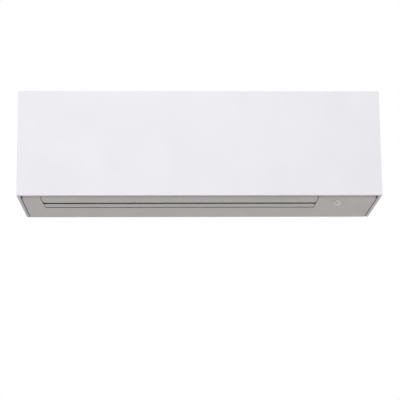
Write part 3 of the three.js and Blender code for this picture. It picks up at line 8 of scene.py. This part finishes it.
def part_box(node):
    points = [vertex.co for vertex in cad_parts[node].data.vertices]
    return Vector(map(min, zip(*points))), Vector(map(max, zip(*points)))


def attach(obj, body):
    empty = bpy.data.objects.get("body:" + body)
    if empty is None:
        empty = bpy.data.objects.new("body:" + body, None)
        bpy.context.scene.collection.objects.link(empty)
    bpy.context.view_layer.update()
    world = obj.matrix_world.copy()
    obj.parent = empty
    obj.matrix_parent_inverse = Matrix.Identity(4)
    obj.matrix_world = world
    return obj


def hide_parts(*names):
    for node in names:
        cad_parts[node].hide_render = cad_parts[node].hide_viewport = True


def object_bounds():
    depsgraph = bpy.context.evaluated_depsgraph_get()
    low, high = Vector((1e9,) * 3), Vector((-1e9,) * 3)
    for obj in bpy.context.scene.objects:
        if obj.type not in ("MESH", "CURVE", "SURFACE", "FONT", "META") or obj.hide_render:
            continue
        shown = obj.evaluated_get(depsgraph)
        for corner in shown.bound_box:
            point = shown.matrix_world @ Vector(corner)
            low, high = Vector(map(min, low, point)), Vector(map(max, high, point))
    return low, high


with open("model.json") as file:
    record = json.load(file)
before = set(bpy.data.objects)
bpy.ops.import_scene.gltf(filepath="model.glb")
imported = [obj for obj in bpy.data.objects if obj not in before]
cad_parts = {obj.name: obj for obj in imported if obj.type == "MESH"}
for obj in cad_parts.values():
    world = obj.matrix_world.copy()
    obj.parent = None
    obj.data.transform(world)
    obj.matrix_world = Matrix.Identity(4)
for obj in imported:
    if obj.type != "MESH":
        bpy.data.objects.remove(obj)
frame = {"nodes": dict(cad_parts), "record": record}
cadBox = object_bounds()
mm = 0.001
bpy.context.scene.view_settings.view_transform = "Standard"
print("frame loaded")


def objectFrom(name, shape, material):
    mesh = bpy.data.meshes.new(name)
    shape.to_mesh(mesh)
    shape.free()
    mesh.materials.append(material)
    thing = bpy.data.objects.new(name, mesh)
    bpy.context.scene.collection.objects.link(thing)
    return thing


# camera, lights and floor

cameraPlace = {
    "spot": (-0.0826, -3.4442, -0.9773),
    "yaw": -1.445,           # degrees, positive turns left
    "pitch": 10.607,         # degrees, positive looks up
    "roll": -0.44,           # degrees
    "lens": 110.2,
    "shiftY": 0.2,
}


def placeCamera(place):
    yaw, pitch, roll = (math.radians(place[key]) for key in ("yaw", "pitch", "roll"))
    ahead = Vector((-math.sin(yaw) * math.cos(pitch), math.cos(yaw) * math.cos(pitch),
                    math.sin(pitch)))
    right = Vector((math.cos(yaw), math.sin(yaw), 0))
    up = right.cross(ahead)
    rightTurned = math.cos(roll) * right + math.sin(roll) * up
    upTurned = math.cos(roll) * up - math.sin(roll) * right
    camera = bpy.data.objects.new("camera", bpy.data.cameras.new("camera"))
    camera.data.lens = place["lens"]
    camera.data.shift_y = place["shiftY"]
    turn = Matrix((rightTurned, upTurned, -ahead)).transposed().to_4x4()
    camera.matrix_world = Matrix.Translation(place["spot"]) @ turn
    bpy.context.scene.collection.objects.link(camera)
    bpy.context.scene.camera = camera


def seenDirectly(nodes, links):
    path = nodes.new("ShaderNodeLightPath")
    seen = path.outputs["Is Camera Ray"]
    for ray in ("Is Glossy Ray", "Is Transmission Ray"):
        either = nodes.new("ShaderNodeMath")
        either.operation = "MAXIMUM"
        links.new(seen, either.inputs[0])
        links.new(path.outputs[ray], either.inputs[1])
        seen = either.outputs[0]
    return seen


# the light falls on the object, the backdrop is what the camera and mirror rays see
surroundings = {"light": (0.985, 0.98, 1.0, 1), "lightStrength": 0.55,
                "backdrop": (1, 1, 1, 1), "backdropStrength": 1}


def lightWorld(look):
    world = bpy.data.worlds.new("surroundings")
    bpy.context.scene.world = world
    world.use_nodes = True
    nodes, links = world.node_tree.nodes, world.node_tree.links
    nodes.clear()
    choice = nodes.new("ShaderNodeMixShader")
    links.new(seenDirectly(nodes, links), choice.inputs[0])
    for i, part in enumerate(("light", "backdrop")):
        background = nodes.new("ShaderNodeBackground")
        background.inputs["Color"].default_value = look[part]
        background.inputs["Strength"].default_value = look[part + "Strength"]
        links.new(background.outputs[0], choice.inputs[i + 1])
    links.new(choice.outputs[0], nodes.new("ShaderNodeOutputWorld").inputs[0])


softLights = {
    "frontLight": {"spot": (-0.6, -9.0, 3.6), "size": 5.0, "watts": 272},
    "lowLight": {"spot": (-1.4, -6.0, -2.0), "size": 1.2, "watts": 44},
    "topLight": {"spot": (1.2, -1.2, 4.4), "size": 2.8, "watts": 34},
    "rearLight": {"spot": (0.6, 5.6, 4.4), "size": 3.6, "watts": 60},
}


def hangLight(name, look):
    lamp = bpy.data.lights.new(name, "AREA")
    lamp.size = look["size"]
    lamp.energy = look["watts"]
    light = bpy.data.objects.new(name, lamp)
    spot = Vector(look["spot"])
    aim = (-spot).to_track_quat("-Z", "Y").to_matrix().to_4x4()
    light.matrix_world = Matrix.Translation(spot) @ aim
    bpy.context.scene.collection.objects.link(light)


floorLook = {"below": 2.4, "reach": 16, "colour": (0.50, 0.495, 0.49, 1), "rough": 0.9, "glow": 0.55}


def layFloor(look):
    shape = bmesh.new()
    level = Matrix.Translation((0, 0, cadBox[0][2] - look["below"]))
    bmesh.ops.create_grid(shape, x_segments=1, y_segments=1, size=look["reach"], matrix=level)
    material = bpy.data.materials.new("floorPaint")
    material.use_nodes = True
    nodes, links = material.node_tree.nodes, material.node_tree.links
    shader = nodes["Principled BSDF"]
    shader.inputs["Base Color"].default_value = look["colour"]
    shader.inputs["Roughness"].default_value = look["rough"]
    glow = nodes.new("ShaderNodeEmission")
    glow.inputs["Strength"].default_value = look["glow"]
    together = nodes.new("ShaderNodeAddShader")
    choice = nodes.new("ShaderNodeMixShader")
    links.new(shader.outputs[0], together.inputs[0])
    links.new(glow.outputs[0], together.inputs[1])
    links.new(seenDirectly(nodes, links), choice.inputs[0])
    links.new(shader.outputs[0], choice.inputs[1])
    links.new(together.outputs[0], choice.inputs[2])
    links.new(choice.outputs[0], nodes["Material Output"].inputs[0])
    floor = objectFrom("floor", shape, material)


placeCamera(cameraPlace)
lightWorld(surroundings)
for name, look in softLights.items():
    hangLight(name, look)
layFloor(floorLook)
print("camera, lights and floor placed")


# materials, each patterned in the piece's own Object coordinates

def paint(colour):           # from sRGB to linear
    values = [int(colour[i:i + 2], 16) / 255 for i in (1, 3, 5)]
    linear = [v / 12.92 if v <= 0.04045 else ((v + 0.055) / 1.055) ** 2.4 for v in values]
    return (*linear, 1)


surfaceIor = 1.46


class Finish:
    def __init__(self, name, look):
        self.look = look
        self.material = bpy.data.materials.new(name)
        self.material.use_nodes = True
        self.nodes = self.material.node_tree.nodes
        self.links = self.material.node_tree.links
        self.shader = self.nodes["Principled BSDF"]
        self.place = self.nodes.new("ShaderNodeTexCoord").outputs["Object"]
        self.give("Metallic", look.get("metal", 0))
        self.give("IOR", surfaceIor)
        self.roughness(self.noise(look["wear"]))

    def give(self, quality, value):
        self.shader.inputs[quality].default_value = value

    def texture(self, kind, scale, stretch):
        node = self.nodes.new(kind)
        node.inputs["Scale"].default_value = scale
        place = self.place
        if stretch:
            mapping = self.nodes.new("ShaderNodeMapping")
            mapping.inputs["Scale"].default_value = stretch
            self.links.new(place, mapping.inputs["Vector"])
            place = mapping.outputs[0]
        self.links.new(place, node.inputs["Vector"])
        return node

    def noise(self, scale, detail=3, stretch=None):
        node = self.texture("ShaderNodeTexNoise", scale, stretch)
        node.inputs["Detail"].default_value = detail
        return node.outputs["Fac"]

    def cells(self, scale, output="Distance", stretch=None):
        return self.texture("ShaderNodeTexVoronoi", scale, stretch).outputs[output]

    def colour(self, value, stops=((0.3, "shade"), (0.7, "colour"))):
        node = self.nodes.new("ShaderNodeValToRGB")
        elements = node.color_ramp.elements
        while len(elements) < len(stops):
            elements.new(0.5)
        for element, (spot, tone) in zip(elements, stops):
            element.position = spot
            element.color = paint(self.look[tone])
        self.links.new(value, node.inputs[0])
        self.links.new(node.outputs["Color"], self.shader.inputs["Base Color"])

    def roughness(self, value):
        node = self.nodes.new("ShaderNodeMapRange")
        node.inputs["To Min"].default_value, node.inputs["To Max"].default_value = self.look["rough"]
        self.links.new(value, node.inputs["Value"])
        self.links.new(node.outputs["Result"], self.shader.inputs["Roughness"])

    def bump(self, value):
        node = self.nodes.new("ShaderNodeBump")
        node.inputs["Distance"].default_value = self.look["depth"]
        node.inputs["Strength"].default_value = self.look["strength"]
        self.links.new(value, node.inputs["Height"])
        self.links.new(node.outputs[0], self.shader.inputs["Normal"])


def mouldedPlastic(name, look):
    finish = Finish(name, look)
    finish.colour(finish.noise(look["drift"], detail=2))
    finish.bump(finish.noise(look["grain"], detail=2))
    return finish


def galvanised(name, look):
    finish = Finish(name, look)
    finish.colour(finish.cells(look["spangle"], "Color"), ((0.0, "shade"), (1.0, "colour")))
    finish.bump(finish.noise(look["grain"], detail=2))
    return finish


def drawnMetal(name, look):
    finish = Finish(name, look)
    finish.colour(finish.noise(look["tarnish"], detail=4), ((0.32, "shade"), (0.62, "colour")))
    finish.bump(finish.noise(look["grain"], stretch=look["stretch"]))
    return finish


def softRubber(name, look):
    finish = Finish(name, look)
    finish.colour(finish.noise(look["drift"]))
    finish.bump(finish.cells(look["grain"]))
    return finish


def circuitBoard(name, look):
    finish = Finish(name, look)
    tracks = finish.cells(look["tracks"], stretch=look["stretch"])
    finish.colour(tracks, ((0.0, "track"), (0.12, "colour"), (1.0, "shade")))
    finish.bump(tracks)
    return finish


def milkyLens(name, look):
    finish = Finish(name, look)
    finish.colour(finish.noise(look["drift"]))
    finish.give("Transmission Weight", look["transmission"])
    finish.give("Coat Weight", look["coat"])
    return finish


# drift, wear, grain and the like are pattern scales, depth and strength are those of the grain
finishLooks = {
    # the side covers' white plastic, greyed: painted shade for their down-facing strips
    "casePlastic": (mouldedPlastic, {
        "colour": "#e6e3df", "shade": "#e1deda", "drift": 10, "wear": 60, "rough": (0.4, 0.5),
        "grain": 1800, "depth": 0.03 * mm, "strength": 0.6}),
    "whitePlastic": (mouldedPlastic, {
        "colour": "#f3f2f6", "shade": "#f0eff3", "drift": 9, "wear": 54, "rough": (0.34, 0.42),
        "grain": 1500, "depth": 0.02 * mm, "strength": 0.6}),
    "greyPlastic": (mouldedPlastic, {
        "colour": "#e3dfdc", "shade": "#dedad7", "drift": 12, "wear": 72, "rough": (0.46, 0.56),
        "grain": 2200, "depth": 0.04 * mm, "strength": 0.6}),
    # dark grey inner plastic: partly the dark duct plastic such units have, partly painted shade that
    # darkens the outlet slot and the gaps
    "innerPlastic": (mouldedPlastic, {
        "colour": "#4c4d50", "shade": "#434447", "drift": 14, "wear": 84, "rough": (0.5, 0.62),
        "grain": 1600, "depth": 0.05 * mm, "strength": 0.6}),
    "blackPlastic": (mouldedPlastic, {
        "colour": "#2e2f32", "shade": "#27282a", "drift": 20, "wear": 120, "rough": (0.42, 0.56),
        "grain": 1800, "depth": 0.05 * mm, "strength": 0.6}),
    "fanPlastic": (mouldedPlastic, {
        "colour": "#3d4046", "shade": "#32343a", "drift": 30, "wear": 180, "rough": (0.45, 0.62),
        "grain": 1200, "depth": 0.06 * mm, "strength": 0.6}),
    "zincSteel": (galvanised, {
        "colour": "#c3c7ca", "shade": "#9ea3a7", "spangle": 160, "wear": 320, "rough": (0.34, 0.5),
        "metal": 1, "grain": 900, "depth": 0.02 * mm, "strength": 0.5}),
    "finAluminium": (drawnMetal, {
        "colour": "#c9d6e0", "shade": "#aebdc9", "tarnish": 25, "wear": 75, "rough": (0.3, 0.42),
        "metal": 1, "grain": 700, "stretch": (0.06, 1, 1), "depth": 0.03 * mm, "strength": 0.4}),
    "copper": (drawnMetal, {
        "colour": "#d08a5f", "shade": "#9c5c3a", "tarnish": 45, "wear": 135, "rough": (0.24, 0.42),
        "metal": 1, "grain": 700, "stretch": (0.06, 1, 1), "depth": 0.03 * mm, "strength": 0.4}),
    "brass": (drawnMetal, {
        "colour": "#d2b46c", "shade": "#b09048", "tarnish": 60, "wear": 180, "rough": (0.22, 0.36),
        "metal": 1, "grain": 700, "stretch": (0.06, 1, 1), "depth": 0.03 * mm, "strength": 0.4}),
    "rubber": (softRubber, {
        "colour": "#343434", "shade": "#2a2a2a", "drift": 60, "wear": 200, "rough": (0.72, 0.88),
        "grain": 900, "depth": 0.04 * mm, "strength": 0.5}),
    "circuitBoard": (circuitBoard, {
        "colour": "#2f7048", "shade": "#275f3c", "track": "#c9a95c", "tracks": 180,
        "stretch": (1, 1, 1.8), "wear": 80, "rough": (0.3, 0.5), "depth": 0.06 * mm, "strength": 0.5}),
    "lensPlastic": (milkyLens, {
        "colour": "#faf8f6", "shade": "#f4f2f0", "drift": 50, "wear": 120, "rough": (0.05, 0.1),
        "transmission": 0.1, "coat": 0.6}),
}
finishes = {name: make(name, look).material for name, (make, look) in finishLooks.items()}
print("materials made:", len(finishes))


# the CAD nodes and their finishes

slotFinishes = {
    "white_plastic": "whitePlastic", "grey_plastic": "greyPlastic", "inner_plastic": "innerPlastic",
    "black_plastic": "blackPlastic", "fan_plastic": "fanPlastic", "fin_aluminium": "finAluminium",
    "zinc_steel": "zincSteel", "copper": "copper", "brass": "brass", "rubber": "rubber",
    "circuit_board": "circuitBoard", "lens_plastic": "lensPlastic",
}
nodeSlots = {part["node"]: part["material_slot"] for part in frame["record"]["subparts"]}
bodies = frame["record"]["behaviour"]["bodies"]
nodeBodies = {node: body for body, held in bodies.items() for node in held}
for node, slot in nodeSlots.items():
    shown = frame["nodes"][node]
    shown.data.materials.clear()
    shown.data.materials.append(finishes[slotFinishes[slot]])
print("CAD nodes finished:", len(nodeSlots))


# pieces made from the CAD solids

# the side covers take the greyed white plastic, which paints the shade on their down-facing strips
pieceFinishes = {"side_cover_left": "casePlastic", "side_cover_right": "casePlastic"}
mergeDistance = 0.001 * mm
cutDistance = 0.0001 * mm
flatAngle = math.radians(0.5)        # faces that turn less than this are joined
sharpAngle = math.radians(40)        # edges that turn more than this are rounded
finishedSmoothAngle = 35             # degrees, edges that turn less than this shade smooth


def smoothUpTo(piece, degrees):
    for face in piece.data.polygons:
        face.use_smooth = True
    piece.data.set_sharp_from_angle(angle=math.radians(degrees))


def evenShading(piece):
    weighted = piece.modifiers.new("evenShading", "WEIGHTED_NORMAL")
    weighted.mode = "FACE_AREA"
    weighted.weight = 100
    weighted.keep_sharp = True


def finishPiece(node, shape):
    finish = pieceFinishes.get(node, slotFinishes[nodeSlots[node]])
    piece = objectFrom(node + "_finished", shape, finishes[finish])
    smoothUpTo(piece, finishedSmoothAngle)
    evenShading(piece)
    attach(piece, nodeBodies[node])
    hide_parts(node)
    return piece


def mergedCopy(node):
    shape = bmesh.new()
    shape.from_mesh(frame["nodes"][node].data)
    bmesh.ops.remove_doubles(shape, verts=shape.verts, dist=mergeDistance)
    return shape


def flatCopy(node):
    shape = mergedCopy(node)
    bmesh.ops.dissolve_limit(shape, angle_limit=flatAngle, verts=shape.verts, edges=shape.edges)
    return shape


def sharpEdges(shape, angle):
    return [e for e in shape.edges if len(e.link_faces) == 2 and e.calc_face_angle(0) > angle]


def roundEdges(shape, edges, width, segments=2):
    bmesh.ops.bevel(shape, geom=edges, offset=width, offset_type="OFFSET", segments=segments,
                    profile=0.5, affect="EDGES", clamp_overlap=True, material=-1)


def corners(node):
    return [Vector(corner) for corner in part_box(node)]


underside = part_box("bottom_cover")[0][2]
dimpleLook = {"reach": 20.8 * mm, "cadDepth": 4.5 * mm, "depth": 2.5 * mm, "slack": 0.1 * mm}


def shallowDimple(shape, look):
    low, high = corners("sensor_lens")
    axisX, axisY = (low.x + high.x) / 2, (low.y + high.y) / 2
    for vert in shape.verts:
        fromAxis = math.hypot(vert.co.x - axisX, vert.co.y - axisY)
        rise = vert.co.z - underside
        if fromAxis < look["reach"] and rise < look["cadDepth"] + look["slack"]:
            vert.co.z = underside + rise * look["depth"] / look["cadDepth"]


edgeRounding = {
    "front_panel": 0.5 * mm, "side_cover_left": 0.4 * mm, "side_cover_right": 0.4 * mm,
    "bottom_cover": 0.3 * mm, "front_frame": 0.3 * mm, "intake_grille": 0.25 * mm,
    "base_chassis": 0.35 * mm, "mounting_plate": 0.2 * mm, "drain_pan": 0.3 * mm,
    "filter_left": 0.25 * mm, "filter_right": 0.25 * mm, "control_box": 0.25 * mm,
    "control_box_cover": 0.2 * mm, "motor_bracket": 0.3 * mm, "pipe_clamp": 0.4 * mm,
    "terminal_block": 0.3 * mm, "fan_motor": 0.5 * mm, "fan_bearing": 0.3 * mm,
    "manual_button": 0.25 * mm, "tie_bar_left": 0.2 * mm, "tie_bar_right": 0.2 * mm,
    "drain_plug": 0.3 * mm, "gas_flare_nut": 0.3 * mm, "liquid_flare_nut": 0.3 * mm,
    "front_flap_stepper": 0.3 * mm, "rear_flap_stepper": 0.3 * mm,
    "vane_stepper_left": 0.3 * mm, "vane_stepper_right": 0.3 * mm,
    "motor_shaft": 0.2 * mm, "fan_end_shaft": 0.2 * mm,
    "coil_end_plate_left": 0.15 * mm, "coil_end_plate_right": 0.15 * mm,
}
numberedRounding = {"vane_": 0.2 * mm, "frame_screw_": 0.2 * mm}
for node in nodeSlots:
    for start, width in numberedRounding.items():
        if node.startswith(start) and node.removeprefix(start).isdigit():
            edgeRounding[node] = width


def roundPiece(node, width):
    shape = flatCopy(node)
    if node == "bottom_cover":
        shallowDimple(shape, dimpleLook)
    roundEdges(shape, sharpEdges(shape, sharpAngle), width)
    finishPiece(node, shape)


for node, width in edgeRounding.items():
    roundPiece(node, width)
print("rounded", len(edgeRounding), "pieces")

# the flaps' trailing edges are drawn in, so that the gap behind them shows
tailTrim = {"front_flap": 2 * mm, "rear_flap": 1.4 * mm}
tailReach = {"back": 1.2 * mm, "up": 3.2 * mm}


def trimTail(node, amount, look):
    shape = mergedCopy(node)
    lowest = [v for v in shape.verts if v.co.z < underside + look["up"]]
    back = max(v.co.y for v in lowest)
    for vert in lowest:
        if vert.co.y > back - look["back"]:
            vert.co.y -= amount
    finishPiece(node, shape)


for node, amount in tailTrim.items():
    trimTail(node, amount, tailReach)
    print("trimmed", node)


# circuit boards: the parts that stand on a board take their own finishes

boardParts = {
    "control_board": ["blackPlastic", "whitePlastic", "zincSteel", "innerPlastic"],
    "sensor_board": ["blackPlastic", "zincSteel"],
    "switch_board": ["whitePlastic"],
}
boardEdge = {"width": 0.25 * mm, "sharp": 0.7, "above": 0.2 * mm, "broad": 0.3}


def islands(faces):
    left = set(faces)
    found = []
    while left:
        group, rim = [], [left.pop()]
        while rim:
            face = rim.pop()
            group.append(face)
            for near in {other for e in face.edges for other in e.link_faces}:
                if near in left:
                    left.discard(near)
                    rim.append(near)
        found.append(group)
    return sorted(found, key=lambda group: min(tuple(face.calc_center_median()) for face in group))


def dressBoard(node, partFinishes, look):
    shape = flatCopy(node)
    widest = max(shape.faces, key=lambda face: face.calc_area())
    out = widest.normal.copy()
    level = widest.calc_center_median().dot(out)
    front = max(v.co.dot(out) for v in shape.verts)
    if front - level < look["above"]:        # the widest face is the bare side
        out = -out
        broad = look["broad"] * widest.calc_area()
        level = max(f.calc_center_median().dot(out) for f in shape.faces if f.calc_area() > broad)
    standing = [f for f in shape.faces if f.calc_center_median().dot(out) > level + look["above"]]
    for i, group in enumerate(islands(standing)):
        for face in group:
            face.material_index = 1 + i % len(partFinishes)
    roundEdges(shape, sharpEdges(shape, look["sharp"]), look["width"])
    piece = finishPiece(node, shape)
    for finish in partFinishes:
        piece.data.materials.append(finishes[finish])
    print("dressed", node)


for node, partFinishes in boardParts.items():
    dressBoard(node, partFinishes, boardEdge)


# new pieces

def newPiece(name, shape, finish, body, stoodFor=(), smoothAngle=None):
    piece = objectFrom(name, shape, finishes[finish])
    if smoothAngle is not None:
        smoothUpTo(piece, smoothAngle)
    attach(piece, body)
    if stoodFor:
        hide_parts(*stoodFor)


def bar(shape, low, high):
    low, high = Vector(low), Vector(high)
    place = Matrix.Translation((low + high) / 2) @ Matrix.Diagonal((*(high - low), 1))
    bmesh.ops.create_cube(shape, size=1, matrix=place)


# a thin dark lining on the bottom cover's upright edge around the flaps: a dark sheet that paints the
# shade in the outlet slot
outletShadeLining = {"thickness": 0.6 * mm, "reveal": 0.15 * mm, "edge": 1 * mm, "tilt": 0.02,
              "beyondLeft": 90 * mm, "beyondRight": 20 * mm, "behind": 12 * mm, "fromFront": 4 * mm}


def makeOutletShadeLining(look):
    low = corners("bottom_cover")[0]
    flapLow, flapHigh = corners("rear_flap")
    shape = flatCopy("bottom_cover")
    others = []
    for face in shape.faces:
        middle = face.calc_center_median()
        upright = abs(face.normal.z) < look["tilt"]
        atEdge = min(v.co.z for v in face.verts) < low.z + look["edge"]
        inWidth = flapLow.x - look["beyondLeft"] < middle.x < flapHigh.x + look["beyondRight"]
        inDepth = low.y + look["fromFront"] < middle.y < flapHigh.y + look["behind"]
        if not (upright and atEdge and inWidth and inDepth):
            others.append(face)
    bmesh.ops.delete(shape, geom=others, context="FACES")
    everything = shape.verts[:] + shape.edges[:] + shape.faces[:]
    bmesh.ops.bisect_plane(shape, geom=everything, dist=cutDistance, plane_no=(0, 0, 1),
                           plane_co=(0, 0, low.z + look["reveal"]), clear_inner=True)
    bmesh.ops.solidify(shape, geom=shape.faces[:], thickness=-look["thickness"])
    bmesh.ops.recalc_face_normals(shape, faces=shape.faces)
    newPiece("outlet_painted_shade_lining", shape, "blackPlastic", "root")


makeOutletShadeLining(outletShadeLining)
print("outlet painted shade lining made")

# a dark strip set into each groove between a side cover and the bottom cover: painted shade that
# darkens the groove
grooveShadeStrip = {"reveal": 1.4 * mm, "height": 4 * mm, "fromFront": 2 * mm, "fromWall": 1 * mm,
              "edge": 0.4 * mm}


def makeGrooveShadeStrip(side, look):
    coverLow, coverHigh = corners("side_cover_" + side)
    low, high = corners("bottom_cover")
    x0, x1 = (coverHigh.x, low.x) if side == "left" else (high.x, coverLow.x)
    bottom = low.z + look["reveal"]
    shape = bmesh.new()
    bar(shape, (x0, low.y + look["fromFront"], bottom),
        (x1, high.y - look["fromWall"], bottom + look["height"]))
    roundEdges(shape, shape.edges[:], look["edge"])
    newPiece("groove_painted_shade_strip_" + side, shape, "innerPlastic", "root", smoothAngle=40)


for side in ("left", "right"):
    makeGrooveShadeStrip(side, grooveShadeStrip)
print("groove painted shade strips made")

sensorDome = {"flange": 3 * mm, "flangeThickness": 2 * mm, "steps": 14, "around": 56}


def makeSensorDome(look):
    low, high = corners("sensor_lens")
    middle = (low + high) / 2
    wide = (high.x - low.x) / 2
    radius = wide - look["flange"]
    shoulder = high.z - look["flangeThickness"]
    profile = []
    for i in range(look["steps"] + 1):
        angle = i / look["steps"] * math.pi / 2
        profile.append((radius * math.sin(angle), low.z + radius - radius * math.cos(angle)))
    profile += [(radius, shoulder), (wide, shoulder), (wide, high.z), (0, high.z)]
    shape = bmesh.new()
    verts = [shape.verts.new((middle.x + r, middle.y, z)) for r, z in profile]
    edges = [shape.edges.new(pair) for pair in zip(verts, verts[1:])]
    bmesh.ops.spin(shape, geom=verts + edges, cent=(middle.x, middle.y, 0), axis=(0, 0, 1),
                   angle=math.tau, steps=look["around"], use_merge=True)
    bmesh.ops.remove_doubles(shape, verts=shape.verts, dist=mergeDistance)
    bmesh.ops.recalc_face_normals(shape, faces=shape.faces)
    newPiece("sensor_dome", shape, "lensPlastic", "root", ["sensor_lens"],
             smoothAngle=40)
    return Vector((middle.x, middle.y, low.z + radius)), radius


eyeRing = {"towards": (-0.46, -0.74, -0.5), "radius": 4.1 * mm, "height": 0.9 * mm,
           "edge": 0.35 * mm, "segments": 3, "sides": 40, "sharp": 1}


def makeEyeRing(domeCentre, domeRadius, look):
    towards = Vector(look["towards"]).normalized()
    foot = domeCentre + towards * (domeRadius - look["height"] / 2)
    place = Matrix.Translation(foot) @ towards.to_track_quat("Z", "Y").to_matrix().to_4x4()
    shape = bmesh.new()
    bmesh.ops.create_cone(shape, cap_ends=True, segments=look["sides"], radius1=look["radius"],
                          radius2=look["radius"], depth=2 * look["height"], matrix=place)
    roundEdges(shape, sharpEdges(shape, look["sharp"]), look["edge"], look["segments"])
    newPiece("sensor_eye_ring", shape, "blackPlastic", "root", smoothAngle=40)
    return place @ Matrix.Translation((0, 0, look["height"]))


sensorEye = {"radius": 3.3 * mm, "flatness": 0.55, "around": 32, "rings": 16}


def makeSensorEye(place, look):
    shape = bmesh.new()
    flat = Matrix.Diagonal((1, 1, look["flatness"], 1))
    bmesh.ops.create_uvsphere(shape, u_segments=look["around"], v_segments=look["rings"],
                              radius=look["radius"], matrix=place @ flat)
    newPiece("sensor_eye", shape, "lensPlastic", "root", smoothAngle=60)


domeCentre, domeRadius = makeSensorDome(sensorDome)
eyePlace = makeEyeRing(domeCentre, domeRadius, eyeRing)
makeSensorEye(eyePlace, sensorEye)
print("sensor dome made")


flankTilt = 0.01


def packFrame(node):         # how a fin pack is turned, and its spans across, along and through
    shape = flatCopy(node)
    flanks = [face for face in shape.faces if abs(face.normal.x) < flankTilt]
    outward = max(flanks, key=lambda face: face.calc_area()).normal.copy()
    across = Vector((1, 0, 0))
    along = across.cross(outward)
    spans = []
    for axis in (across, along, outward):
        reach = [v.co.dot(axis) for v in shape.verts]
        spans.append((min(reach), max(reach)))
    shape.free()
    return Matrix((across, along, outward)).transposed().to_4x4(), spans


finLook = {"pitch": 1.9 * mm, "thickness": 0.25 * mm}


def makeFins(node, look):
    turn, ((x0, x1), (low, high), (inner, outer)) = packFrame(node)
    size = Matrix.Diagonal((look["thickness"], high - low, outer - inner, 1))
    shape = bmesh.new()
    count = int((x1 - x0) / look["pitch"])
    for i in range(count + 1):
        x = x0 + look["thickness"] / 2 + i * (x1 - x0 - look["thickness"]) / count
        centre = Vector((x, (low + high) / 2, (inner + outer) / 2))
        bmesh.ops.create_cube(shape, size=1, matrix=turn @ Matrix.Translation(centre) @ size)
    newPiece(node + "_fins", shape, "finAluminium", "root", [node])


tubeLook = {"radius": 3.5 * mm, "pitch": 21 * mm, "rows": 2, "sides": 12}


def makeTubes(node, look):
    turn, ((x0, x1), (low, high), (inner, outer)) = packFrame(node)
    quarterTurn = Matrix.Rotation(math.pi / 2, 4, "Y")
    shape = bmesh.new()
    steps = int((high - low) / look["pitch"])
    for row in range(look["rows"]):
        depth = inner + (outer - inner) * (row + 0.5) / look["rows"]
        for i in range(steps):
            spot = Vector(((x0 + x1) / 2, low + (high - low) * (i + 0.5) / steps, depth))
            bmesh.ops.create_cone(shape, cap_ends=True, segments=look["sides"],
                                  radius1=look["radius"], radius2=look["radius"], depth=x1 - x0,
                                  matrix=turn @ Matrix.Translation(spot) @ quarterTurn)
    newPiece(node + "_tubes", shape, "copper", "root", smoothAngle=40)


for node in ("fin_pack_front_lower", "fin_pack_front_upper", "fin_pack_rear"):
    makeFins(node, finLook)
    makeTubes(node, tubeLook)
    print("fins and tubes made for", node)

filterLook = {"thread": 0.3 * mm, "pitch": 2.1 * mm, "sheet": 2.6 * mm, "gripRise": 2 * mm,
              "edge": 1 * mm}


def makeFilterMesh(node, look):
    low, high = corners(node)
    half = look["thread"] / 2
    sheetZ = high.z - look["gripRise"] - look["sheet"] / 2
    legY = low.y + look["sheet"] / 2
    x0, x1 = low.x + look["edge"], high.x - look["edge"]
    y0, y1 = low.y + look["edge"], high.y - look["edge"]
    z0, z1 = low.z + look["edge"], high.z - look["gripRise"] - look["edge"]
    shape = bmesh.new()
    for i in range(1, int((x1 - x0) / look["pitch"])):
        x = x0 + i * look["pitch"]
        bar(shape, (x - half, y0, sheetZ - half), (x + half, y1, sheetZ + half))
        bar(shape, (x - half, legY - half, z0), (x + half, legY + half, z1))
    for i in range(1, int((y1 - y0) / look["pitch"])):
        y = y0 + i * look["pitch"]
        bar(shape, (x0, y - half, sheetZ - half), (x1, y + half, sheetZ + half))
    for i in range(1, int((z1 - z0) / look["pitch"])):
        z = z0 + i * look["pitch"]
        bar(shape, (x0, legY - half, z - half), (x1, legY + half, z + half))
    newPiece(node + "_mesh", shape, "blackPlastic", nodeBodies[node])


for node in ("filter_left", "filter_right"):
    makeFilterMesh(node, filterLook)
    print("mesh made for", node)
